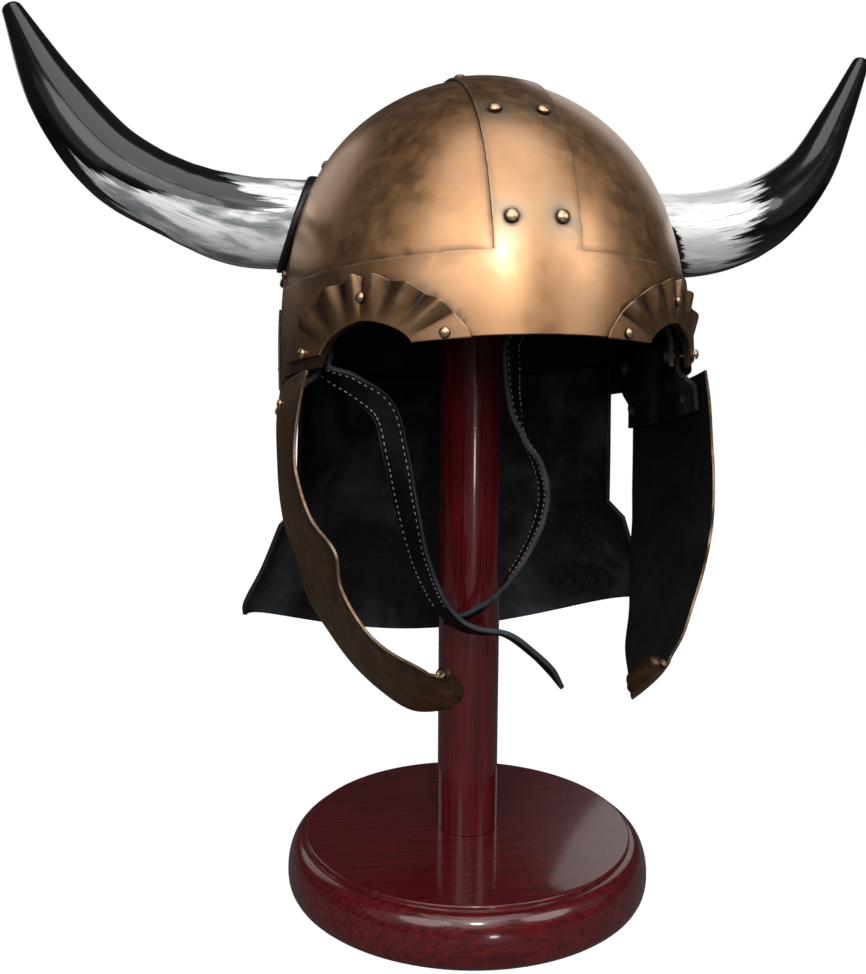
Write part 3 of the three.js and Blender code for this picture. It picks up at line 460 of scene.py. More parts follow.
def aged_metal_group():
    """Bronze finish: worn bright with painted highlight on edges and high places, grey-green round rivets,
    near black in corners with patina and painted shade.
    """
    tree, given, result = surface_group(
        "aged metal", Light=(0.76, 0.42, 0.21), Middle=(0.5, 0.26, 0.12), Dark=(0.05, 0.028, 0.016),
        Bloom=(0.34, 0.29, 0.21), Patina=0.0, Halo=0.0, Rubbed=0.0, Gloss=0.36,
    )
    blotch = noise_node(tree, given["Vector"], 24, 2, 0.45, 0.3)
    mottle = noise_node(tree, given["Vector"], 110, 5, 0.6)
    speck = noise_node(tree, given["Vector"], 620, 3, 0.6)
    brushed = noise_node(tree, stretched(tree, given["Vector"], (160, 900, 140)), 1, 3, 0.6)
    tone = plus(tree, spread(tree, blotch, 0.3, 0.7, 0, 0.7), spread(tree, mottle, 0.3, 0.7, 0, 0.3))
    base = blend_colour(tree, tone, given["Middle"], given["Light"])
    bloom = times(tree, given["Halo"], spread(tree, mottle, 0.3, 0.6, 0.5, 1.1), True)
    base = blend_colour(tree, bloom, base, given["Bloom"])
    # Patina, and painted shade along seams, under edges and round rivets, darken the colour towards Dark
    dirt = times(tree, given["Patina"], spread(tree, mottle, 0.25, 0.6, 0.6, 1.15))
    spots = times(tree, spread(tree, speck, 0.68, 0.8), 0.25)
    dirt = math_node(tree, "MAXIMUM", dirt, spots, True)
    soiled = blend_colour(tree, dirt, base, given["Dark"])
    # Worn metal, and painted highlight on edges and ridges, turn the colour towards a pale bright bronze
    worn = times(tree, given["Rubbed"], spread(tree, mottle, 0.4, 0.58, 0.1, 1), True)
    feed(tree, result["Color"], blend_colour(tree, worn, soiled, (0.85, 0.64, 0.44)))
    rough = plus(tree, given["Gloss"], spread(tree, mottle, 0.3, 0.7, -0.03, 0.07),
                 times(tree, dirt, 0.18), spread(tree, brushed, 0.4, 0.7, 0, 0.04))
    feed(tree, result["Roughness"], rough)
    height = plus(tree, blotch, times(tree, mottle, 0.1), times(tree, brushed, 0.01))
    feed(tree, result["Height"], height)
    return tree


def leather_group():
    """Smooth black leather: fine pores, faint creases and rubbed places, whose usual pale bluish colour is
    painted sheen.
    """
    tree, given, result = surface_group(
        "leather skin", Deep=(0.007, 0.007, 0.008), Rubbed=(0.07, 0.085, 0.1), Gloss=0.42,
    )
    cloud = noise_node(tree, given["Vector"], 22, 4, 0.6, 0.5)
    crease = noise_node(tree, given["Vector"], 180, 4, 0.6, 1.2)
    pores = tree.nodes.new("ShaderNodeTexVoronoi")
    pores.feature = "DISTANCE_TO_EDGE"
    pores.inputs["Scale"].default_value = 900
    feed(tree, pores.inputs["Vector"], given["Vector"])
    tone = plus(tree, spread(tree, cloud, 0.42, 0.72, 0, 0.75), spread(tree, crease, 0.5, 0.8, 0, 0.3))
    feed(tree, result["Color"], blend_colour(tree, tone, given["Deep"], given["Rubbed"]))
    rough = plus(tree, given["Gloss"], spread(tree, crease, 0.3, 0.7, -0.06, 0.12))
    feed(tree, result["Roughness"], rough)
    height = plus(tree, times(tree, crease, 0.8), spread(tree, pores.outputs["Distance"], 0, 0.25, 0, 0.35))
    feed(tree, result["Height"], height)
    return tree


def wood_grain_group():
    """Lacquered mahogany: fine dark streaks along the grain under a clear coat."""
    tree, given, result = surface_group(
        "lacquered grain", Light=(0.15, 0.009, 0.012), Dark=(0.05, 0.003, 0.005),
    )
    streak = noise_node(tree, given["Vector"], 1.0, 5, 0.62, 0.2)
    fine = noise_node(tree, given["Vector"], 3.2, 3, 0.7)
    tone = plus(tree, spread(tree, streak, 0.35, 0.65, 0, 0.7), spread(tree, fine, 0.3, 0.7, 0, 0.3))
    feed(tree, result["Color"], blend_colour(tree, tone, given["Dark"], given["Light"]))
    feed(tree, result["Roughness"], spread(tree, fine, 0.3, 0.7, 0.2, 0.3))
    feed(tree, result["Height"], fine)
    return tree


def marked(tree, name, output="Fac"):
    node = tree.nodes.new("ShaderNodeAttribute")
    node.attribute_name = name
    return node.outputs[output]


def bare_finish(name, **settings):
    """A material with one shader, whose plain numbers are set on its own sockets."""
    finish = bpy.data.materials.new(name)
    finish.use_nodes = True
    shader = finish.node_tree.nodes["Principled BSDF"]
    for label, value in settings.items():
        label = label.replace("_", " ").title().replace("Ior", "IOR")
        shader.inputs[label].default_value = plain_value(value)
    return finish, finish.node_tree, shader


def add_relief(tree, shader, height, strength, distance):
    relief = tree.nodes.new("ShaderNodeBump")
    relief.inputs["Strength"].default_value = strength
    relief.inputs["Distance"].default_value = distance * MM
    feed(tree, relief.inputs["Height"], height)
    feed(tree, shader.inputs["Normal"], relief.outputs["Normal"])


def new_finish(name, group, bump, bump_distance, values=None, marks=(), stretch=None, **settings):
    """A material that takes its colour, roughness and relief from a group.

    values are the group's inputs that differ here, and marks the vertex attributes that feed
    the inputs of the same names.
    """
    finish, tree, shader = bare_finish(name, **settings)
    effect = tree.nodes.new("ShaderNodeGroup")
    effect.node_tree = group
    place = tree.nodes.new("ShaderNodeTexCoord").outputs["Object"]
    feed(tree, effect.inputs["Vector"], stretched(tree, place, stretch) if stretch else place)
    for label, value in (values or {}).items():
        feed(tree, effect.inputs[label], value)
    for label in marks:
        feed(tree, effect.inputs[label.title()], marked(tree, label))
    feed(tree, shader.inputs["Base Color"], effect.outputs["Color"])
    feed(tree, shader.inputs["Roughness"], effect.outputs["Roughness"])
    add_relief(tree, shader, effect.outputs["Height"], bump, bump_distance)
    return finish


def horn_finish():
    """Polished horn: black towards the tip, white and grey streaks at the root, with a ragged end."""
    finish, tree, shader = bare_finish("polished horn", coat_weight=0.7, coat_roughness=0.05)
    place = marked(tree, "fibres", "Vector")
    patch = noise_node(tree, stretched(tree, place, (2.2, 2.2, 1.5)), 1.0, 3, 0.5, 0.4)
    streak = noise_node(tree, stretched(tree, place, (7, 7, 0.9)), 1.0, 4, 0.6, 0.3)
    hair = noise_node(tree, stretched(tree, place, (30, 30, 1.6)), 1.0, 4, 0.65, 0.2)
    ragged = times(tree, plus(tree, streak, -0.5), 0.3)
    fringe = times(tree, plus(tree, hair, -0.5), 0.12)
    cover = spread(tree, plus(tree, marked(tree, "pale"), plus(tree, ragged, fringe)), -0.012, 0.03)
    grey = times(tree, spread(tree, patch, 0.44, 0.62), marked(tree, "grey"))
    light = blend_colour(tree, grey, (0.97, 0.98, 0.98), (0.17, 0.2, 0.22))
    lines = times(tree, spread(tree, hair, 0.54, 0.66), spread(tree, streak, 0.4, 0.56, 0.15, 0.9))
    light = blend_colour(tree, lines, light, (0.02, 0.022, 0.024))
    black = blend_colour(tree, spread(tree, hair, 0.55, 0.8, 0, 0.3),
                         (0.004, 0.004, 0.005), (0.05, 0.045, 0.04))
    feed(tree, shader.inputs["Base Color"], blend_colour(tree, cover, black, light))
    feed(tree, shader.inputs["Roughness"], spread(tree, hair, 0.3, 0.8, 0.14, 0.26))
    add_relief(tree, shader, hair, 0.15, 0.15)
    return finish


aged_metal = aged_metal_group()
leather_skin = leather_group()
wood_grain = wood_grain_group()

bronze, dull_bronze = (
    new_finish(name, aged_metal, 0.22, 0.7, marks=("patina", "halo", "rubbed"),
               metallic=1.0, coat_weight=coat, coat_roughness=0.22)
    for name, coat in (("aged bronze sheet", 0.7), ("dull bronze sheet", 0.08))
)
rivet_bronze = new_finish("polished bronze rivet", aged_metal, 0.2, 0.15, {
    "Light": (0.85, 0.6, 0.4), "Middle": (0.68, 0.45, 0.27), "Gloss": 0.32,
}, ["patina"], metallic=1.0)
washer_steel = new_finish("dark washer", aged_metal, 0.2, 0.1, {
    "Light": (0.22, 0.22, 0.24), "Middle": (0.12, 0.12, 0.13), "Gloss": 0.42,
}, metallic=0.7)
blackened = new_finish("blackened inside", aged_metal, 0.3, 0.3, {
    "Light": (0.012, 0.012, 0.013), "Middle": (0.006, 0.006, 0.006),
    "Dark": (0.004, 0.004, 0.004), "Gloss": 0.55,
})
# A darker colour on the sheets' cut edges
dirty_edge = new_finish("dirty sheet edge", aged_metal, 0.3, 0.2, {
    "Light": (0.2, 0.125, 0.07), "Middle": (0.07, 0.042, 0.024), "Gloss": 0.5,
}, metallic=1.0)
# The lighter patches on this leather are painted bluish sheen
black_leather = new_finish("black leather", leather_skin, 0.3, 0.25, specular_ior_level=0.45)
brown_cut = new_finish("brown cut edge", leather_skin, 0.6, 0.3, {
    "Deep": (0.014, 0.01, 0.008), "Rubbed": (0.05, 0.038, 0.03), "Gloss": 0.6,
})
strap_leather = new_finish("black strap leather", leather_skin, 0.3, 0.2, {
    "Deep": (0.003, 0.003, 0.004), "Rubbed": (0.01, 0.011, 0.013), "Gloss": 0.5,
}, specular_ior_level=0.25)
strap_cut = new_finish("grey cut edge", leather_skin, 0.6, 0.3, {
    "Deep": (0.03, 0.034, 0.04), "Rubbed": (0.1, 0.112, 0.13), "Gloss": 0.6,
})
thread = new_finish("waxed thread", leather_skin, 0.3, 0.1, {
    "Deep": (0.36, 0.31, 0.24), "Rubbed": (0.68, 0.61, 0.5), "Gloss": 0.6,
})
black_ring = new_finish("black ring", leather_skin, 0.3, 0.1, {
    "Deep": (0.004, 0.004, 0.004), "Rubbed": (0.02, 0.02, 0.02), "Gloss": 0.4,
})
horn = horn_finish()
base_wood, post_wood = (
    new_finish(name, wood_grain, 0.15, 0.05, stretch=grain,
               specular_ior_level=0.5, coat_weight=1.0, coat_roughness=0.07)
    for name, grain in (("lacquered base", (26, 620, 300)), ("lacquered post", (620, 620, 24)))
)
METAL = (bronze, blackened, dirty_edge)
GUARD_METAL = (dull_bronze, blackened, dirty_edge)


# Crown surface: an upright ellipse whose radius falls off towards the top

def crown_radius(height):
    share = max(height, 0) / CROWN_HEIGHT
    return max(1 - share ** CROWN_UPRIGHTNESS, 0) ** (1 / CROWN_FULLNESS)


def dome_height(reach):
    """The crown's height at a distance from its middle, as a share of the way to the rim."""
    return CROWN_HEIGHT * max(1 - reach ** CROWN_FULLNESS, 0) ** (1 / CROWN_UPRIGHTNESS)


def crown_spot(angle, height, side=1, facing=-1):
    """A place on the panels' outer face, at an angle from the front or rear middle."""
    radius = crown_radius(height)
    return (side * CROWN_HALF_WIDTH * radius * math.sin(angle),
            facing * CROWN_HALF_LENGTH * radius * math.cos(angle), height)


def crown_slope(x, y, height):
    reach = max(math.hypot(x / CROWN_HALF_WIDTH, y / CROWN_HALF_LENGTH), 1e-4)
    plan = CROWN_FULLNESS * reach ** (CROWN_FULLNESS - 2)
    share = max(height, 0) / CROWN_HEIGHT
    return Vector((
        plan * x / CROWN_HALF_WIDTH ** 2,
        plan * y / CROWN_HALF_LENGTH ** 2,
        CROWN_UPRIGHTNESS * share ** (CROWN_UPRIGHTNESS - 1) / CROWN_HEIGHT,
    ))


def off_crown(x, y, height, offset):
    """A point this far outside the panels' outer face, and the way out there."""
    normal = crown_slope(x, y, height).normalized()
    return Vector((x, y, height)) + offset * normal, normal


def crown_frame(angle, height, offset):
    return off_crown(*crown_spot(angle, height), offset)


def angle_at(forward, height):
    return math.acos(forward / (CROWN_HALF_LENGTH * crown_radius(height)))


def crown_clearance(point):
    """About how far a point stands outside the panels' outer face."""
    reach = math.hypot(point.x / CROWN_HALF_WIDTH, point.y / CROWN_HALF_LENGTH)
    level = reach ** CROWN_FULLNESS + (max(point.z, 0) / CROWN_HEIGHT) ** CROWN_UPRIGHTNESS - 1
    return level / crown_slope(point.x, point.y, point.z).length


def arch_outline(turn, half_width, height):
    cosine = math.cos(turn)
    sign = 1 if cosine >= 0 else -1
    return (half_width * sign * abs(cosine) ** (2 / ARCH_POWER),
            height * abs(math.sin(turn)) ** (2 / ARCH_POWER))


arch_middle, arch_normal = crown_frame(ARCH_ANGLE, 0, 0)
arch_along = Vector((-arch_normal.y, arch_normal.x, 0)).normalized()
RIM_PER_RADIAN = math.hypot(CROWN_HALF_WIDTH * math.cos(ARCH_ANGLE),
                            CROWN_HALF_LENGTH * math.sin(ARCH_ANGLE))
BROW_HALF = CROWN_HALF_WIDTH * math.sin(ARCH_ANGLE)


def lower_edge(angle, facing):
    """Height of the metal's lower edge at an angle from the front or rear middle."""
    if facing > 0:
        return -SIDE_DROP
    point = crown_frame(abs(angle), 0, 0)[0]
    low = BROW_ARCH * (1 - (point.x / BROW_HALF) ** 2) if point.x < BROW_HALF else -SIDE_DROP
    off_middle = abs((point - arch_middle).dot(arch_along)) / ARCH_HALF_WIDTH
    if off_middle < 1:
        low = max(low, ARCH_HEIGHT * (1 - off_middle ** ARCH_POWER) ** (1 / ARCH_POWER), 0)
    return low


def arch_columns(facing):
    """Angles where the lower edge turns, so that its outline is kept. The rear has none."""
    if facing > 0:
        return []
    reaches = [arch_outline(k * math.pi / 24, ARCH_HALF_WIDTH, ARCH_HEIGHT)[0] for k in range(25)]
    reaches += [ARCH_HALF_WIDTH * foot for foot in (-1.003, -0.999, 0.999, 1.003)]
    places = [arch_middle + arch_along * reach for reach in reaches]
    return [math.atan2(p.x / CROWN_HALF_WIDTH, -p.y / CROWN_HALF_LENGTH) for p in places]


def merged(values, gap, keep, least):
    """Sorted values: those to keep, and others that stand apart from them by the gap.

    Where kept ones come closer than the least step, one of them is dropped.
    """
    result = sorted(keep)
    for value in values:
        if all(abs(value - other) > gap for other in result):
            result.append(value)
    result.sort()
    return [v for k, v in enumerate(result) if k == 0 or v - result[k - 1] > least]


def crown_sheet(lattice, offset):
    """A sheet over places (x, y, height) of the crown's face, at an offset from it."""
    return grid_sheet(len(lattice[0]) - 1, len(lattice) - 1,
                      lambda i, j: helmet_place @ off_crown(*lattice[j][i], offset)[0], METAL)


def out_of_helmet(point):
    return helmet_turn @ crown_slope(*(helmet_back @ point)).normalized()


def finish_sheet(piece):
    in_edit_mode(piece, (bpy.ops.mesh.remove_doubles, {"threshold": 0.02 * MM}))
    make_wall(piece, out_of_helmet, SHEET, 1, 2, 0.16)


# Patina, wear, painted shade and painted highlight on the metal

def fan_edge_distance(point):
    """Distance of a place on the crown from the outline of the nearer fan, outside it."""
    angle = math.atan2(abs(point.x) / CROWN_HALF_WIDTH, -point.y / CROWN_HALF_LENGTH)
    along = (angle - ARCH_ANGLE) * RIM_PER_RADIAN
    half = FAN_HALF_REAR if along > 0 else FAN_HALF_FRONT
    rise = (max(point.z, 0) / FAN_HEIGHT) ** ARCH_POWER
    reach = (abs(along / half) ** ARCH_POWER + rise) ** (1 / ARCH_POWER)
    return (reach - 1) * min(half, FAN_HEIGHT * 1.3)


def falloff(distance, reach):
    return math.exp(-max(distance, 0) / reach)


# Painted shade along the panel's seams: dark beside the plate's band and brow edges, and half as dark
# towards its edge over the cross band
def panel_patina(point):
    on_band = falloff(abs(point.x) - BAND_HALF_WIDTH, 1.3) if abs(point.x) > BAND_HALF_WIDTH - 1 else 1
    on_brow = falloff(point.z - BROW_HEIGHT, 1.3) if point.z > BROW_HEIGHT - 1 else 1
    on_cross = falloff(abs(point.y) - CROSS_BAND_EDGE, 3.0)
    return min(max(on_band, on_brow, 0.5 * on_cross), 1) * 0.85


# Painted shade beside the fans, along the band's and brow's edges and below the brow seam, and darker along
# the lower rim
def plate_patina(point):
    beside_fan = fan_edge_distance(point)
    fan = max(0.8 * falloff(beside_fan, 2.6), 0.4 * falloff(beside_fan, 8)) if point.y < 0 else 0
    rim = falloff(point.z + SIDE_DROP, 3.0) * 0.4
    in_band = abs(point.x) < BAND_HALF_WIDTH
    band = falloff(BAND_HALF_WIDTH - abs(point.x), 1.2) * 0.5 if in_band and point.z > BROW_HEIGHT else 0
    brow = falloff(BROW_HEIGHT - point.z, 1.2) * 0.4 if not in_band else 0
    under_panel = 0.35 * falloff(BROW_HEIGHT - point.z, 7) * ease((abs(point.x) - 25) / 20)
    return min(max(fan, rim, band, brow, under_panel), 1)


# Worn bright metal with a painted highlight, in a narrow line along an edge
def edge_rub(distance):
    return 0.4 * (1 - ease((distance - 0.2) / 0.5))


def rivet_spots(facing):
    heights = [LOWER_RIVETS, UPPER_RIVETS] + ([CROWN_RIVETS] if facing < 0 else [])
    return [band_seat(side, height, facing)[0] for side in (-1, 1) for height in heights]


def beyond_rivet(point, spots):
    return min((point - spot).length for spot in spots) - BAND_RIVET[0]


# Worn metal and painted highlight along the plate's band, brow and cross-band edges
def plate_rub(point):
    edges = [abs(abs(point.y) - CROSS_BAND_EDGE) if abs(point.x) > BAND_HALF_WIDTH else 9]
    if point.z > BROW_HEIGHT - 2:
        edges.append(BAND_HALF_WIDTH - abs(point.x) if abs(point.x) < BAND_HALF_WIDTH + 1 else 9)
        edges.append(BROW_HEIGHT - point.z if abs(point.x) > BAND_HALF_WIDTH - 0.5 else 9)
    return edge_rub(min(abs(edge) for edge in edges))


# Panels, from the lower edge up to the cross band, and from the band round to the side

def add_panel(side, facing):
    inset = BAND_HALF_WIDTH - PANEL_LAP
    top = dome_height(math.hypot(inset / CROWN_HALF_WIDTH, CROSS_BAND_EDGE / CROWN_HALF_LENGTH))

    def span(height):
        radius = max(crown_radius(height), 1e-3)
        return (math.asin(min(inset / (CROWN_HALF_WIDTH * radius), 1)),
                math.acos(min(CROSS_BAND_EDGE / (CROWN_HALF_LENGTH * radius), 1)))

    first, last = span(0)
    kept = [first, last, *arch_columns(facing), *[last - math.radians(d) for d in (0.35, 0.9, 1.8)]]
    angles = merged([mix(first, last, k / 44) for k in range(1, 44)], math.radians(0.8), kept, 1e-4)
    rows = 46
    lattice = []
    for j in range(rows + 1):
        climb = math.sin(math.pi / 2 * j / rows) ** 0.8
        row = []
        for angle in angles:
            height = min(mix(lower_edge(angle, facing), top, climb), top)
            turn = mix(*span(height), (angle - first) / (last - first))
            row.append(crown_spot(turn, height, side, facing))
        lattice.append(row)
    piece = crown_sheet(lattice, 0)
    finish_sheet(piece)
    # Painted shade along the seams, and worn metal with painted highlight along the edge over the cross
    # band
    mark(piece, "patina", in_helmet(panel_patina))
    mark(piece, "rubbed", in_helmet(lambda p: edge_rub(abs(abs(p.y) - CROSS_BAND_EDGE))))
    hand_over(piece, f"crown_panel_{FACES[facing]}_{SIDES[side]}")


def climb_over(across, across_half, along_half, low, stop, wall_steps, top_steps):
    """Places (distance along, height) up the wall and over the top, at one distance across."""
    def reach(height):
        return along_half * math.sqrt(max(crown_radius(height) ** 2 - (across / across_half) ** 2, 0))

    path = []
    for k in range(wall_steps):
        height = mix(low, WALL_TOP, k / wall_steps)
        path.append((reach(height), height))
    start = reach(WALL_TOP)
    for k in range(top_steps + 1):
        along = mix(start, stop, k / top_steps)
        path.append((along, dome_height(math.hypot(along / along_half, across / across_half))))
    return path


def add_plate(facing):
    """One sheet: a strip along the rim, and a band up over the crown."""
    across = steps_between(-BAND_HALF_WIDTH, BAND_HALF_WIDTH, 30, (0.3, 0.8, 1.6))
    paths = [
        climb_over(x, CROWN_HALF_WIDTH, CROWN_HALF_LENGTH, BROW_HEIGHT, PLATE_JOINT / 2, 48, 60)
        for x in across
    ]
    band = crown_sheet([
        [(x, facing * path[j][0], path[j][1]) for x, path in zip(across, paths)]
        for j in range(len(paths[0]))
    ], PLATE_OUTER)

    def side_angle(height):
        return angle_at(CROSS_BAND_EDGE, height)

    def strip_place(share, rise):
        height = mix(lower_edge(share * side_angle(0), facing), BROW_HEIGHT, rise)
        return crown_spot(share * side_angle(height), height, 1, facing)

    brow_radius = CROWN_HALF_WIDTH * crown_radius(BROW_HEIGHT)
    on_band = [math.asin(x / brow_radius) / side_angle(BROW_HEIGHT) for x in across]
    arches = [a / side_angle(0) for a in arch_columns(facing)]
    ends = [1 - math.radians(d) / side_angle(0) for d in (0, 0.25, 0.65, 1.4)]
    kept = [*on_band, *[s * v for v in [*arches, *ends] for s in (-1, 1)]]
    shares = merged([k / 60 for k in range(-59, 60)], 0.009, kept, 1e-5)
    lift = [0, 0.012, 0.032, 0.07, 0.14, 0.24, 0.35, 0.46, 0.57, 0.68, 0.78, 0.87, 0.925, 0.96, 0.985, 1]
    strip = crown_sheet([[strip_place(share, rise) for share in shares] for rise in lift], PLATE_OUTER)
    piece = join([strip, band])
    finish_sheet(piece)
    spots = rivet_spots(facing)
    # Painted shade along seams and as a shadow round the rivets' feet, grey-green patina round the rivets,
    # worn metal with painted highlight along the edges
    mark(piece, "patina", in_helmet(
        lambda p: max(plate_patina(p), 0.95 * falloff(beyond_rivet(p, spots), 0.8))))
    mark(piece, "halo", in_helmet(lambda p: 0.8 * falloff(beyond_rivet(p, spots) - 1.5, 6)))
    mark(piece, "rubbed", in_helmet(plate_rub))
    hand_over(piece, FACES[facing] + "_plate")


def add_cross_band():
    half = CROSS_BAND_EDGE + CROSS_BAND_LAP
    across = steps_between(-half, half, 18, (0.8, 2))
    paths = []
    for y in across:
        climb = climb_over(y, CROWN_HALF_LENGTH, CROWN_HALF_WIDTH, -SIDE_DROP, 0, 26, 34)
        paths.append([(x, y, z) for x, z in climb] + [(-x, y, z) for x, z in reversed(climb[:-1])])
    piece = crown_sheet(list(zip(*paths)), CROSS_OUTER)
    finish_sheet(piece)
    # Patina over the band, with painted shade darkening it where it runs under the panels' edges
    mark(piece, "patina", in_helmet(lambda p: min(0.35 + falloff(CROSS_BAND_EDGE - abs(p.y), 5), 1)))
    hand_over(piece, "cross_band")


# Fans

FLUTE_END = FLUTE_START + FLUTES * FLUTE_PITCH
FLUTE_ROOT_END = FLUTE_ROOT_START + FLUTES * FLUTE_ROOT_PITCH


def flute_rise(turn, share):
    along = (turn - FLUTE_START) / FLUTE_PITCH
    if along <= 0 or along >= FLUTES:
        return 0
    return FLUTE_DEPTH * share ** 1.2 * (1 - math.cos(2 * math.pi * along)) / 2


def root_turn(turn):
    if turn < FLUTE_START:
        return turn * FLUTE_ROOT_START / FLUTE_START
    if turn > FLUTE_END:
        return math.pi - (math.pi - turn) * (math.pi - FLUTE_ROOT_END) / (math.pi - FLUTE_END)
    return FLUTE_ROOT_START + (turn - FLUTE_START) * FLUTE_ROOT_PITCH / FLUTE_PITCH


def fan_frame(side, turn, share, offset):
    wave = FLUTE_SCALLOP * flute_rise(turn, 1) / FLUTE_DEPTH
    reach = FAN_HALF_REAR if turn < math.pi / 2 else FAN_HALF_FRONT
    root = arch_outline(root_turn(turn), ARCH_HALF_WIDTH, ARCH_HEIGHT)
    rim = arch_outline(turn, reach + wave, FAN_HEIGHT + wave)
    return crown_frame(side * (ARCH_ANGLE + mix(root[0], rim[0], share) / RIM_PER_RADIAN),
                       mix(root[1], rim[1], share), offset)


def add_fan(side):
    per_flute = 14
    turns = [mix(FAN_FOOT, FLUTE_START, k / 8) for k in range(8)]
    turns += [FLUTE_START + k * FLUTE_PITCH / per_flute for k in range(FLUTES * per_flute + 1)]
    turns += [mix(FLUTE_END, math.pi - FAN_FOOT, k / 8) for k in range(1, 9)]
    shares = [0, 0.02, 0.06, 0.14, 0.25, 0.37, 0.5, 0.62, 0.74, 0.84, 0.92, 0.96, 0.985, 1]

    def place(i, j):
        rise = flute_rise(turns[j], shares[i])
        return helmet_place @ fan_frame(side, turns[j], shares[i], FAN_OUTER + rise)[0]

    # Patina over the fan, with painted shade deepening it in the flute valleys towards the rim
    def in_valley(i, j):
        if not FLUTE_START < turns[j] < FLUTE_END:
            return 0.42
        return 0.3 + (1 - flute_rise(turns[j], 1) / FLUTE_DEPTH) ** 2 * shares[i] ** 0.4 * 0.7

    # Painted highlight along the flute ridges, and worn metal with painted highlight along the root and rim
    # edges
    def on_ridge(i, j):
        edge = 0.6 if shares[i] in (0, 1) else 0
        return max((flute_rise(turns[j], 1) / FLUTE_DEPTH) ** 5 * shares[i] * 0.6, edge)

    piece = grid_sheet(len(shares) - 1, len(turns) - 1, place, METAL,
                       marks={"patina": in_valley, "rubbed": on_ridge})
    make_wall(piece, out_of_helmet, SHEET, 1)
    hand_over(piece, "temple_fan_" + SIDES[side])


# Cheek guards

# Columns: front edge out, fore and drop, rear edge out, back and drop, bulge
GUARD_ROWS = (
    (0.914, 0.585, 0, 0.967, 0.347, 0, 1),
    (0.948, 0.551, 0.097, 0.986, 0.403, 0.104, 0.9),
    (0.971, 0.517, 0.227, 0.99, 0.432, 0.247, 0.6),
    (0.962, 0.542, 0.318, 0.986, 0.441, 0.357, 0.5),
    (0.914, 0.619, 0.435, 0.962, 0.398, 0.474, 0.6),
    (0.829, 0.742, 0.529, 0.914, 0.322, 0.578, 0.8),
    (0.805, 0.712, 0.63, 0.867, 0.237, 0.708, 0.8),
    (0.729, 0.75, 0.734, 0.795, 0.085, 0.799, 0.6),
    (0.643, 0.839, 0.799, 0.695, -0.093, 0.903, 0.6),
    (0.524, 0.975, 0.844, 0.595, -0.364, 0.968, 0.6),
    (0.5, 1.008, 0.854, 0.495, -0.619, 1, 0.5),
    (0.476, 1.034, 0.857, 0.39, -0.869, 0.968, 0.2),
    (0.471, 1.038, 0.86, 0.367, -0.924, 0.945, 0),
)
GUARD_LAST = len(GUARD_ROWS) - 1


def guard_face(position, share):
    front_out, fore, front_drop, rear_out, back, rear_drop, bulge = spline(GUARD_ROWS, position)
    front = Vector((front_out * CROWN_HALF_WIDTH, -fore * CROWN_HALF_LENGTH,
                    GUARD_TOP - front_drop * GUARD_DROP))
    rear = Vector((rear_out * CROWN_HALF_WIDTH, back * CROWN_HALF_LENGTH,
                   GUARD_TOP - rear_drop * GUARD_DROP))
    outward = Vector((rear.y - front.y, front.x - rear.x, 0)).normalized()
    return front.lerp(rear, share) + outward * 4 * share * (1 - share) * bulge * GUARD_BULGE


def guard_frame(position, share, offset):
    step = 0.05
    down = guard_face(min(position + step, GUARD_LAST), share) - guard_face(max(position - step, 0), share)
    along = guard_face(position, min(share + step, 1)) - guard_face(position, max(share - step, 0))
    normal = along.cross(down).normalized()
    if normal.x < 0:
        normal.negate()
    return guard_face(position, share) + normal * offset, normal, down.normalized(), along.normalized()


def on_side(point, side):
    return Vector((point.x * side, point.y, point.z))


def add_guard(side):
    per_row = 6
    positions = [0, 0.05, 0.12] + [k / per_row for k in range(1, GUARD_LAST * per_row + 1)]
    curl = [math.radians(a) for a in range(22, 331, 22)]
    shares = [0, 0.012, 0.03, 0.07, *[k / 20 for k in range(2, 19)], 0.93, 0.97, 0.988, 1]

    def from_edge(i):
        return min(shares[i], 1 - shares[i])

    def place(i, j):
        if j < len(positions):
            point = guard_frame(positions[j], shares[i], 0)[0]
        else:
            point, normal, down, along = guard_frame(GUARD_LAST, shares[i], 0)
            over = (down - along * down.dot(along)).normalized()
            turn = curl[j - len(positions)]
            pinch = 0.5 + 0.5 * ease(from_edge(i) / 0.15)
            point = point + TIP_ROLL * pinch * ((math.cos(turn) - 1) * normal + math.sin(turn) * over)
        return helmet_place @ on_side(point, side)

    # Darker overall, more so along the front and rear edges, in the top rows and on the rolled tip
    def soiled(i, j):
        return 0.62 + 0.2 * falloff(from_edge(i) * 60, 5) + (0.15 if j < 4 or j >= len(positions) else 0)

    # Worn metal with painted highlight along the edges and the top row
    def worn(i, j):
        return 0.45 if from_edge(i) < 0.011 or j == 0 else 0

    piece = grid_sheet(len(shares) - 1, len(positions) + len(curl) - 1, place, GUARD_METAL,
                       marks={"patina": soiled, "rubbed": worn})
    make_wall(piece, lambda p: Vector((side, 0, 0)), SHEET, 1)
    hand_over(piece, "cheek_guard_" + SIDES[side])


# Leather hinges

def guard_share(forward):
    top = GUARD_ROWS[0]
    return (top[1] * CROWN_HALF_LENGTH - forward) / ((top[1] + top[4]) * CROWN_HALF_LENGTH)


def guard_position(height):
    return max(GUARD_TOP - height, 0) / (GUARD_ROWS[1][2] * GUARD_DROP)


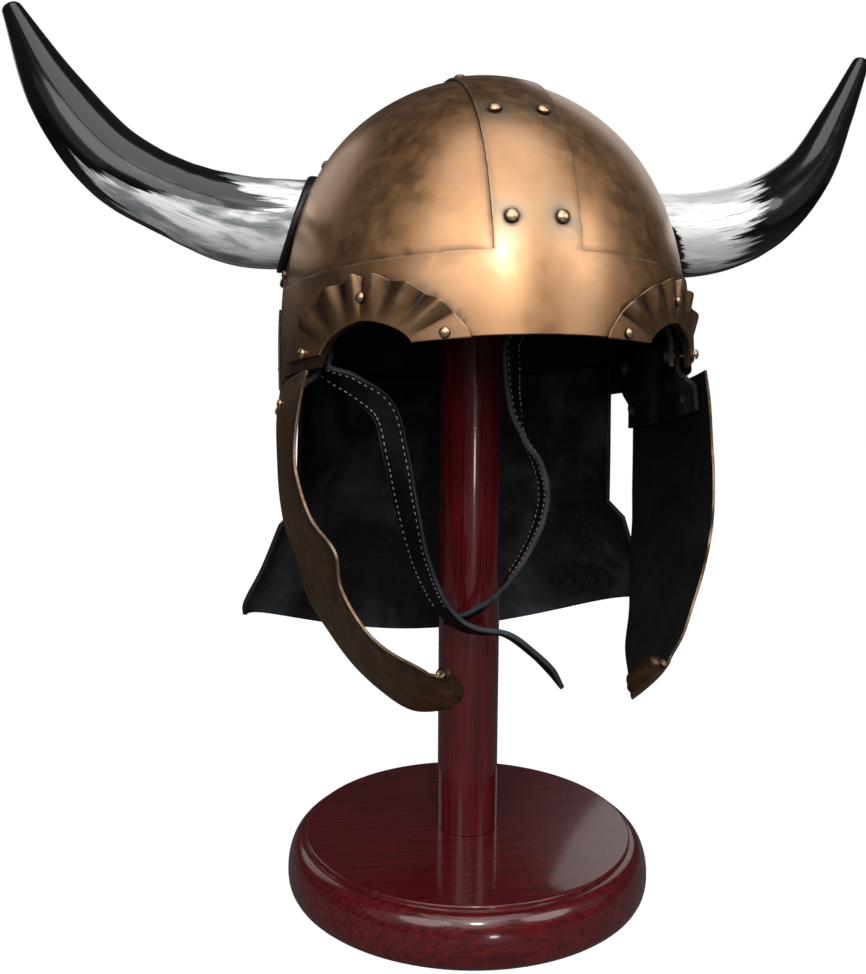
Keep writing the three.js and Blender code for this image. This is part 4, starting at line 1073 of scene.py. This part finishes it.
def add_hinge(side):
    forwards = steps_between(HINGE_FRONT, -HINGE_BACK, 26, (0.8, 2))
    heights = steps_between(HINGE_TOP, HINGE_LOW, 20, (0.8, 2))

    def place(i, j):
        forward, height = forwards[i], heights[j]
        crown = crown_frame(angle_at(forward, 0), height, HINGE_OUTER)[0]
        guard = guard_frame(guard_position(height), guard_share(forward), GUARD_LEATHER_OUTER)[0]
        point = crown.lerp(guard, ease((GUARD_TOP + 3 - height) / 9))
        return helmet_place @ on_side(point, side)

    piece = grid_sheet(len(forwards) - 1, len(heights) - 1, place, [black_leather, brown_cut])
    make_wall(piece, lambda p: Vector((side, 0, 0)), LEATHER, 0, 1, 0.5, 3)
    hand_over(piece, "hinge_leather_" + SIDES[side])


# Neck guard

def neck_rows():
    """Below the rim, columns: half width, back, side's back, height, side's rise, trim."""
    rim_back = (helmet_place @ crown_frame(math.pi, -SIDE_DROP, NECK_OUTER)[0]).y
    return (
        (94, rim_back + 1, 35, 203, 8, 0),
        (104, rim_back + 2, 35, 197, 4, 0),
        (114.5, rim_back + 9.6, 40, 159, 15.5, 0),
        (124, rim_back + 22, 45, 124, 31, 0),
        (125, rim_back + 24, 45, 115, 31, 9),
    )


def neck_skirt_point(row, across):
    half_width, back, side_back, height, side_rise, trim = row
    turn = across * (math.pi / 2 - trim / half_width)
    return Vector((
        half_width * math.sin(turn),
        side_back + (back - side_back) * math.cos(turn),
        height + side_rise * math.sin(turn) ** 2,
    ))


def add_neck_guard():
    rows = neck_rows()
    columns = steps_between(-1, 1, 70, (0.006, 0.015))

    def on_rim(across, height):
        return helmet_place @ crown_frame(math.pi - across * (math.pi - NECK_ANGLE), height, NECK_OUTER)[0]

    levels = [("rim", mix(12, -SIDE_DROP, k / 8)) for k in range(9)]
    levels += [("fall", k / 16) for k in range(1, 16)]
    levels += [("skirt", k / 3) for k in range(0, 4)]
    levels += [("skirt", 1 + k / 10) for k in range(1, 28)]
    levels += [("skirt", level) for level in (3.8, 3.92, 4)]

    def place(i, j):
        across = columns[i]
        kind, value = levels[j]
        if kind == "rim":
            return on_rim(across, value)
        if kind == "fall":
            point = on_rim(across, -SIDE_DROP).lerp(neck_skirt_point(rows[0], across), value)
        elif value <= 1:
            point = neck_skirt_point(rows[0], across).lerp(neck_skirt_point(rows[1], across), ease(value))
        else:
            point = neck_skirt_point(spline(rows[1:], value - 1), across)
        wave = noise.noise(point * 0.018) * 1.6 * ease((RIM_HEIGHT - 20 - point.z) / 60)
        return point + Vector((0, wave, 0))

    piece = grid_sheet(len(columns) - 1, len(levels) - 1, place, [black_leather, brown_cut])
    make_wall(piece, lambda p: Vector((p.x, p.y, 0)).normalized(), LEATHER, 0, 1, 0.5, 3, 60)
    hand_over(piece, "neck_guard")


# Chin straps

# Columns of a route: share of the way, side, back, rise, turn, share of the width
LEFT_STRAP = (
    (0, 0, 1, 8, -21, 1), (0, 0, 0, 0, -21, 1), (0.045, -3.3, -1.5, 0, -24, 1),
    (0.1, 6, -5, 0, -55, 1), (0.18, 14, -8.5, 0, -85, 1), (0.34, 9, -11.5, 0, -78, 1),
    (0.5, 2.5, -12, 0, -58, 1), (0.73, -5, -8, 0, -42, 1), (0.9, -6, -4.5, 0, -34, 0.95),
    (0.97, -3.5, -4, 0, -36, 0.85), (1, 1, -4, -1, -34, 0.8),
)
# Columns of the tail: reach, back, drop, turn, share of the width
TAIL = (
    (0.14, -4, 0.06, -26, 0.8), (0.37, -3.5, 0.1, -18, 0.8), (0.6, -3.5, 0.27, -16, 0.8),
    (0.75, -3.5, 0.42, -18, 0.72), (0.86, -3.5, 0.58, -20, 0.12),
)
RIGHT_STRAP = (
    (0, 0, -1, -6, -21, 1), (0, 0, 0, 0, -21, 1), (0, -3, -1, 14, -15, 1), (0, -22, -1, 27, 0, 1),
    (0, -48, -1, 30, 5, 1), (0, -70, 0, 22, 30, 1), (0, -81, 0, 7, 50, 1),
    (0.035, -77.5, -1, 0, 52, 1), (0.153, -64.5, -4.5, 0, 40, 1), (0.28, -46, -5.5, 0, 12, 1),
    (0.37, -29, -5, 0, -2, 1), (0.48, -13, -5, 0, -2, 1), (0.58, -4, -6, 0, 0, 1),
    (0.69, 2, -6, 0, 4, 1), (0.8, 5.5, -5, 0, 8, 0.95), (0.89, 6.5, -3, 0, 20, 0.8),
    (0.955, 4, 0.5, 0, 40, 0.6), (1, 0, 4, 1, 55, 0.5), (1, -8, 4.5, 0, 40, 0.45),
)


def strap_sections(points, turns, widths, steps):
    curve = CentripetalCurve(points)
    reference = Vector((0, 1, 0))
    spans = len(points) - 1
    sections = []
    for i in range(steps + 1):
        t = i / steps
        index = min(int(t * spans), spans - 1)
        share = t * spans - index
        turn = math.radians(mix(turns[index], turns[index + 1], ease(share)))
        width = mix(widths[index], widths[index + 1], share)
        tangent = curve.tangent(t)
        depthwise = (reference - tangent * reference.dot(tangent)).normalized()
        sideways = tangent.cross(depthwise)
        across = depthwise * math.cos(turn) + sideways * math.sin(turn)
        through = tangent.cross(across).normalized()
        sections.append((curve.at(t), across, through, width, tangent))
    return sections


def stitch_rows(sections):
    """Short stitches along both edges, on both faces, where the strap is at full width."""
    bpy.ops.object.select_all(action="DESELECT")
    bpy.ops.mesh.primitive_uv_sphere_add(segments=8, ring_count=5, radius=1)
    pattern = bpy.context.object
    shape = [v.co.copy() for v in pattern.data.vertices]
    faces = [tuple(f.vertices) for f in pattern.data.polygons]
    bpy.data.objects.remove(pattern)
    vertices, polygons = [], []
    travelled, due = 0.0, 4.0
    for (start, *_), (end, across, through, width, tangent) in zip(sections, sections[1:]):
        travelled += (end - start).length
        if travelled < due or width < STRAP_WIDTH * 0.93:
            continue
        due = travelled + STITCH_PITCH
        for edge in (-1, 1):
            for face in (-1, 1):
                aside = across * edge * (width / 2 - STITCH_INSET)
                middle = end + aside + through * face * STRAP_THICKNESS / 2
                first = len(vertices)
                vertices += [
                    (middle + tangent * p.x * 0.95 + across * p.y * 0.3 + through * p.z * 0.24) * MM
                    for p in shape
                ]
                polygons += [tuple(first + k for k in polygon) for polygon in faces]
    mesh = bpy.data.meshes.new("stitches")
    mesh.from_pydata(vertices, [], polygons)
    mesh.update()
    stitches = bpy.data.objects.new("stitches", mesh)
    bpy.context.scene.collection.objects.link(stitches)
    for finish in (strap_leather, strap_cut, thread):
        mesh.materials.append(finish)
    for polygon in mesh.polygons:
        polygon.material_index = 2
    return stitches


def add_strap(node, sections):
    chamfer = 0.45
    half = STRAP_THICKNESS / 2
    # Corners of the cross-section: share of the half width, inset from the edge, height
    corners = (
        (-1, chamfer, half), (-1, 5, half), (1, 5, half), (1, chamfer, half), (1, 0, half - chamfer),
        (1, 0, chamfer - half), (1, chamfer, -half), (1, 5, -half), (-1, 5, -half), (-1, chamfer, -half),
        (-1, 0, chamfer - half), (-1, 0, half - chamfer),
    )
    edge_cells = (3, 4, 5, 9, 10, 11)
    count = len(corners)

    def place(i, j):
        centre, across, through, width, _ = sections[j]
        side, inset, height = corners[i % count]
        inset = min(inset, width * 0.3)
        return centre + across * side * (width / 2 - inset) + through * height

    piece = grid_sheet(count, len(sections) - 1, place, [strap_leather, strap_cut, thread],
                       lambda i: 1 if i in edge_cells else 0)
    close_up(piece, 0.01, cap=True)
    smooth(piece, 50)
    stitches = stitch_rows(sections)
    select_only(stitches)
    bpy.ops.object.shade_smooth()
    hand_over(join([piece, stitches]), node)


def add_straps():
    def end(side):
        return helmet_place @ crown_frame(side * STRAP_RIVET_ANGLE, STRAP_RIVET_HEIGHT, STRAP_MIDDLE)[0]

    def route(start, rows):
        return [start.lerp(CROSSING, row[0]) + Vector(row[1:4]) for row in rows]

    left = route(end(-1), LEFT_STRAP)
    left += [CROSSING + Vector((row[0] * TAIL_LENGTH, row[1], -row[2] * TAIL_LENGTH)) for row in TAIL]
    for node, points, rows in (
        ("chin_strap_left", left, (*LEFT_STRAP, *TAIL)),
        ("chin_strap_right", route(end(1), RIGHT_STRAP), RIGHT_STRAP),
    ):
        sections = strap_sections(points, [row[-2] for row in rows],
                                  [row[-1] * STRAP_WIDTH for row in rows], 420)
        add_strap(node, sections)


# Horns

# How far the pale root reaches along each horn, at degrees above the horn's front
PALE_REACH = {
    "left": ((90, 0.3), (50, 0.27), (28, 0.2), (14, 0.1), (2, 0.11), (-10, 0.36), (-28, 0.52),
             (-48, 0.66), (-66, 0.5), (-90, 0.33)),
    "right": ((90, 0.42), (50, 0.42), (20, 0.37), (8, 0.41), (-6, 0.33), (-30, 0.3),
              (-60, 0.27), (-90, 0.2)),
}

# Columns: out, back, rise and thickness, as shares of the horn's own sizes
HORNS = {
    "left": ((0, 0, 0, 0.99), (0.25, 0.12, 0.01, 1.03), (0.475, 0.31, 0.118, 0.89),
             (0.67, 0.58, 0.282, 0.85), (0.85, 0.84, 0.6, 0.67), (0.99, 1, 0.99, 0.24)),
    "right": ((0, 0, -0.01, 0.97), (0.27, 0.14, -0.005, 1.02), (0.52, 0.36, 0.105, 0.91),
              (0.735, 0.56, 0.34, 0.64), (0.88, 0.81, 0.645, 0.42), (1.004, 1, 0.952, 0.22)),
}


def horn_surface(side, rows):
    """Gives the place on a horn at a share of its length, a turn round it and an extra thickness."""
    root = crown_frame(math.pi / 2, HORN_HEIGHT, CROSS_OUTER - HORN_ROOT_INSET)[0]
    curve = CentripetalCurve([
        (side * (root.x + out * HORN_REACH), back * HORN_BACK - HORN_FORWARD,
         HORN_HEIGHT + rise * HORN_RISE)
        for out, back, rise, _ in rows
    ])
    thickness = [(row[3] * HORN_ROOT_RADIUS,) for row in rows]
    upright = Vector((0, 1, 0))

    def at(t, turn, extra, shrink=1.0, beyond=0.0):
        tangent = curve.tangent(t)
        across = (upright - tangent * upright.dot(tangent)).normalized()
        up = tangent.cross(across)
        radius = (spline(thickness, t * (len(rows) - 1))[0] + extra) * shrink
        return curve.at(t) + tangent * beyond + (across * math.cos(turn) + up * math.sin(turn)) * radius

    return at


def where_clear(surface, turn, extra, clearance):
    """The share of the horn's length where its side is this far outside the crown."""
    low, high = 0.0, 0.45
    for _ in range(30):
        middle = (low + high) / 2
        if crown_clearance(surface(middle, turn, extra)) < clearance:
            low = middle
        else:
            high = middle
    return (low + high) / 2


def pale_reach(name, side, turn):
    """The pale root's reach at a turn. The front is half a turn on, and the rear repeats it."""
    lift = math.degrees(math.asin(max(-1, min(1, side * math.sin(turn)))))
    rows = PALE_REACH[name]
    for (high, far), (low, near) in zip(rows, rows[1:]):
        if lift >= low:
            return mix(near, far, ease((lift - low) / (high - low)))
    return rows[-1][1]


def add_horn(name, side):
    surface = horn_surface(side, HORNS[name])
    along = 84
    turns = [2 * math.pi * k / HORN_SIDES for k in range(HORN_SIDES + 1)]
    starts = [where_clear(surface, turn, 0, HORN_SEAT) for turn in turns]
    # The round tip: share of the thickness, and of the way beyond the horn's end
    caps = [(0.96, 0.25), (0.82, 0.55), (0.58, 0.8), (0.3, 0.95), (0.0, 1.0)]

    def progress(i, j):
        return mix(starts[i], 1, min(j / along, 1))

    def place(i, j):
        t = progress(i, j)
        if j <= along:
            wave = HORN_WAVE * math.sin(t * 60 + 2 * math.sin(t * 17)) * (1 - t)
            point = surface(t, turns[i], wave)
        else:
            shrink, beyond = caps[j - along - 1]
            point = surface(1, turns[i], 0, shrink, beyond * HORN_TIP_ROUND)
        return helmet_place @ point

    def fibre(i, j):
        return math.cos(turns[i]), math.sin(turns[i]) + side * 3, progress(i, j) * 4

    def pale(i, j):
        dark_root = 0.9 * falloff(progress(i, j) - starts[i], DARK_ROOT) if name == "right" else 0
        return pale_reach(name, side, turns[i]) - progress(i, j) - dark_root

    piece = grid_sheet(HORN_SIDES, along + len(caps), place, [horn], marks={
        "pale": pale, "grey": lambda i, j: HORN_GREYNESS[name], "fibres": fibre,
    })
    close_up(piece, 0.01, cap=True)
    smooth(piece, 60)
    hand_over(piece, "horn_" + name)


def add_horn_ring(name, side):
    surface = horn_surface(side, HORNS[name])
    # The ring's section: extra thickness and clearance, round its four rounded corners
    top = HORN_SEAT + RING_WIDTH
    outer = 0.3 + RING_WALL
    section = [(0.3, HORN_SEAT), (1.3, HORN_SEAT), (outer, HORN_SEAT + 0.6), (outer, top - 1.0),
               (outer - 0.35, top - 0.3), (outer - 1.0, top), (0.3, top - 0.3), (0.3, HORN_SEAT + 1.5)]

    def place(i, j):
        turn = 2 * math.pi * (i % HORN_SIDES) / HORN_SIDES
        extra, clearance = section[j % len(section)]
        return helmet_place @ surface(where_clear(surface, turn, extra, clearance), turn, extra)

    piece = grid_sheet(HORN_SIDES, len(section), place, [black_ring])
    close_up(piece, 0.005)
    smooth(piece, 60)
    hand_over(piece, "horn_ring_" + name)


# Rivets: a profile spun round for each rivet and set at its place

def spun(profile, steps, finish):
    """A turned shape: its profile of (radius, height) spun round the upright axis."""
    mesh = bpy.data.meshes.new("profile")
    mesh.from_pydata([(r * MM, 0, z * MM) for r, z in profile],
                     [(k, k + 1) for k in range(len(profile) - 1)], [])
    mesh.materials.append(finish)
    piece = bpy.data.objects.new("profile", mesh)
    bpy.context.scene.collection.objects.link(piece)
    in_edit_mode(piece, (bpy.ops.mesh.spin, {
        "steps": steps, "angle": 2 * math.pi, "center": (0, 0, 0), "axis": (0, 0, 1),
    }))
    close_up(piece, 0.002)
    return piece


def dome(radius, height, base):
    """The profile of a hammered rivet head from its middle down to its foot."""
    profile = []
    for k in range(9):
        turn = math.pi / 2 * k / 8
        profile.append((radius * math.sin(turn) ** 0.9, base + height * (0.12 + 0.88 * math.cos(turn))))
    return profile + [(radius, base)]


def put_rivet(profile, node, seat, washer_top=None):
    point, normal = seat
    piece = spun(profile, 24, rivet_bronze)
    if washer_top is not None:
        piece.data.materials.append(washer_steel)
        for face in piece.data.polygons:
            face.material_index = 1 if face.center.z / MM < washer_top else 0
    reach = max(r for r, _ in profile)
    # Painted shade: a dark ring round the head's outer edge
    mark(piece, "patina", lambda p: 0.95 * ease((math.hypot(p.x, p.y) / reach - 0.86) / 0.13))
    turn = Vector((0, 0, 1)).rotation_difference(helmet_turn @ normal).to_matrix().to_4x4()
    piece.data.transform(Matrix.Translation((helmet_place @ point) * MM) @ turn)
    smooth(piece, 50)
    hand_over(piece, node)


def head_rivet(radius, height, node, seat):
    put_rivet([*dome(radius, height, 0), (0, 0)], node, seat)


def through_rivet(node, seat, depth):
    radius, height = SMALL_RIVET
    foot = -depth - WASHER_THICKNESS
    washer = [(SHANK_RADIUS, 0), (SHANK_RADIUS, -depth), (WASHER_RADIUS - 0.2, -depth),
              (WASHER_RADIUS, -depth - 0.2), (WASHER_RADIUS, foot + 0.2), (WASHER_RADIUS - 0.3, foot),
              (1.9, foot), (1.6, foot - 0.55), (0.9, -depth - height), (0, -depth - height)]
    put_rivet([*dome(radius, height, 0), *washer], node, seat, -depth + 0.1)


def band_seat(side, height, facing):
    turn = math.asin(BAND_RIVET_ASIDE / (CROWN_HALF_WIDTH * crown_radius(height)))
    return crown_frame(side * (turn if facing < 0 else math.pi - turn), height, PLATE_OUTER + RIVET_GAP)


def add_rivets():
    bands = [("front_rivet_lower", LOWER_RIVETS, -1), ("front_rivet_upper", UPPER_RIVETS, -1),
             ("front_rivet_crown", CROWN_RIVETS, -1),
             ("rear_rivet_lower", LOWER_RIVETS, 1), ("rear_rivet_upper", UPPER_RIVETS, 1)]
    horns = [("front_upper", 12, 28), ("front_lower", 10, -28),
             ("rear_upper", -12, 28), ("rear_lower", -10, -28)]
    fans = [("front", (math.pi + FLUTE_END) / 2, 0.62), ("middle", FLUTE_START + 3 * FLUTE_PITCH, 0.52)]
    hinges = [("upper_front", 22.5, 22.5, 6.5, False), ("upper_rear", -36, -36, 7.5, False),
              ("lower_front", 22, 38, -17, True), ("lower_rear", -35, -35, -15, True)]
    for side, name in SIDES.items():
        for node, height, facing in bands:
            head_rivet(*BAND_RIVET, f"{node}_{name}", band_seat(side, height, facing))
        for node, forward, rise in horns:
            height = HORN_HEIGHT + rise
            seat = crown_frame(side * angle_at(forward, height), height, CROSS_OUTER + RIVET_GAP)
            head_rivet(*SMALL_RIVET, f"horn_rivet_{node}_{name}", seat)
        for node, turn, share in fans:
            flank = flute_rise(turn + FLUTE_PITCH / 4, share)
            seat = fan_frame(side, turn, share, FAN_OUTER + RIVET_GAP + flank)
            head_rivet(*SMALL_RIVET, f"fan_rivet_{node}_{name}", seat)
        for node, left, right, height, on_guard in hinges:
            forward = left if side < 0 else right
            if on_guard:
                outside = RIVET_GAP
                seat = guard_frame(guard_position(height), guard_share(forward), outside)
            else:
                under_plate = abs(forward) > CROSS_BAND_EDGE
                outside = (PLATE_OUTER if under_plate else CROSS_OUTER) + RIVET_GAP
                seat = crown_frame(angle_at(forward, 0), height, outside)
            depth = outside - (GUARD_INNER if on_guard else HINGE_INNER)
            seat = [on_side(direction, side) for direction in seat[:2]]
            through_rivet(f"hinge_rivet_{node}_{name}", seat, depth)
        outside = FAN_OUTER + RIVET_GAP
        seat = crown_frame(side * STRAP_RIVET_ANGLE, STRAP_RIVET_HEIGHT, outside)
        through_rivet(f"strap_rivet_{name}", seat, outside - STRAP_INNER)
    for i in range(3):
        angle = math.pi + (i - 1) * math.radians(48)
        head_rivet(*SMALL_RIVET, f"neck_rivet_{i + 1}", crown_frame(angle, 4, PLATE_OUTER + RIVET_GAP))


# Stand

def quarter_round(radius, height, width, rise, steps):
    """Places from straight above a centre, at a radius and height, outwards and down."""
    turns = [math.pi / 2 * k / steps for k in range(steps + 1)]
    return [(radius + width * math.sin(turn), height + rise * math.cos(turn)) for turn in turns]


def add_stand():
    lip = 1.2
    step = BASE_THICKNESS - 2.6
    start = BASE_TOP_RADIUS + lip / 2
    base = spun([
        (0, BASE_THICKNESS), (40, BASE_THICKNESS), (BASE_TOP_RADIUS - lip - 1, BASE_THICKNESS),
        *quarter_round(BASE_TOP_RADIUS - lip, BASE_THICKNESS - lip, lip, lip, 6),
        (BASE_TOP_RADIUS, step + 0.35), (BASE_TOP_RADIUS + 0.15, step + 0.1),
        *quarter_round(start, 9, BASE_RADIUS - start, step - 9, 16),
        (BASE_RADIUS, 7), (BASE_RADIUS - 0.2, 5), (BASE_RADIUS - 0.7, 3), (BASE_RADIUS - 1.7, 1.1),
        (BASE_RADIUS - 2.6, 0.3), (BASE_RADIUS - 3.4, 0), (50, 0), (0, 0),
    ], 128, base_wood)
    smooth(base, 30)
    hand_over(base, "stand_base")

    low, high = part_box("stand_post")
    foot, top = low.z / MM, high.z / MM
    dome_radius = 34
    edge = math.asin(15.5 / dome_radius)
    turns = [edge * k / 6 for k in range(7)]
    profile = [(dome_radius * math.sin(a), top - dome_radius * (1 - math.cos(a))) for a in turns]
    shoulder = profile[-1][1]
    profile += [(16.2, shoulder - 0.8), (16.8, shoulder - 2.4), (POST_RADIUS, shoulder - 5)]
    profile += [(POST_RADIUS, mix(shoulder - 5, foot, k / 12)) for k in range(1, 13)]
    post = spun([*profile, (0, foot)], 96, post_wood)
    smooth(post, 30)
    hand_over(post, "stand_post")


# Floor, light and surroundings

BROW = Vector((0, -0.12, 0.33))
POST_MIDDLE = Vector((0, 0, 0.2))
AMBIENT_LIGHT = 0.03
FLOOR_SIZE = 30

# Columns: place in metres, size, power and colour
LAMPS = {
    "flash": ((-0.1, -1.07, 0.97), 0.15, 2.6, (1, 0.98, 0.95)),
    "glow in the middle": ((-0.12, -1.08, 1.02), 0.9, 1.6, (1, 0.98, 0.95)),
    "glow from the left": ((-0.8, -1.0, 1.0), 0.8, 3.6, (1, 0.98, 0.95)),
    "glow from the right": ((0.85, -0.95, 1.05), 0.8, 4.0, (1, 0.98, 0.95)),
    "window": ((0, -0.6, 1.6), 1.4, 7.0, (1, 0.99, 0.98)),
    "low strip": ((0.06, -1.2, 0.1), 0.1, 0.35, (1, 1, 1)),
    "fill": ((-0.5, -1.5, 0.8), 1.0, 9, (1, 1, 1)),
    "left soft box": ((-1.3, -0.7, 0.7), 0.8, 0.35, (1, 0.97, 0.93)),
    "right soft box": ((1.3, -0.5, 0.6), 0.7, 0.15, (0.93, 0.96, 1)),
    "rear left": ((-0.9, 1.2, 1.0), 1.0, 1.6, (1, 0.98, 0.96)),
    "rear right": ((0.9, 1.2, 1.0), 1.0, 1.6, (1, 0.98, 0.96)),
}


def add_lamp(name, place, size, power, colour):
    bpy.ops.object.light_add(type="AREA", location=place)
    lamp = bpy.context.object
    lamp.name = name
    lamp.data.shape = "DISK"
    lamp.data.size = size
    lamp.data.energy = power
    lamp.data.color = colour
    target = POST_MIDDLE if name == "low strip" else BROW
    lamp.rotation_mode = "QUATERNION"
    lamp.rotation_quaternion = (target - Vector(place)).to_track_quat("-Z", "Y")
    lamp.visible_glossy = name != "fill"


def add_surroundings():
    bpy.ops.object.select_all(action="DESELECT")
    bpy.ops.mesh.primitive_plane_add(size=FLOOR_SIZE, location=(0, 0, 0))
    floor = bpy.context.object
    floor.name = "floor"
    finish, tree, shader = bare_finish("pale floor", roughness=0.9, base_color=(0.12, 0.12, 0.12),
                                       emission_color=(1.0, 1.0, 1.0))
    seen_directly = tree.nodes.new("ShaderNodeLightPath").outputs["Is Camera Ray"]
    feed(tree, shader.inputs["Emission Strength"], seen_directly)
    floor.data.materials.append(finish)

    world = bpy.data.worlds.new("studio")
    bpy.context.scene.world = world
    world.use_nodes = True
    tree = world.node_tree
    tree.nodes.clear()
    either = tree.nodes.new("ShaderNodeMixShader")
    seen_directly = tree.nodes.new("ShaderNodeLightPath").outputs["Is Camera Ray"]
    feed(tree, either.inputs[0], seen_directly)
    for socket, colour, strength in (
        (either.inputs[1], (0.9, 0.93, 1.0), AMBIENT_LIGHT), (either.inputs[2], (1.0, 1.0, 1.0), 1.0),
    ):
        background = tree.nodes.new("ShaderNodeBackground")
        feed(tree, background.inputs["Color"], colour)
        feed(tree, background.inputs["Strength"], strength)
        feed(tree, socket, background.outputs[0])
    feed(tree, tree.nodes.new("ShaderNodeOutputWorld").inputs["Surface"], either.outputs[0])

    for name, values in LAMPS.items():
        add_lamp(name, *values)
    settings = bpy.context.scene.view_settings
    settings.view_transform = "Standard"
    settings.look = "None"


add_camera()
add_stand()
for which_side in SIDES:
    add_panel(which_side, -1)
    add_panel(which_side, 1)
    add_fan(which_side)
    add_guard(which_side)
    add_hinge(which_side)
add_plate(-1)
add_plate(1)
add_cross_band()
add_neck_guard()
add_straps()
for which_side, horn_name in SIDES.items():
    add_horn(horn_name, which_side)
    add_horn_ring(horn_name, which_side)
add_rivets()
add_surroundings()
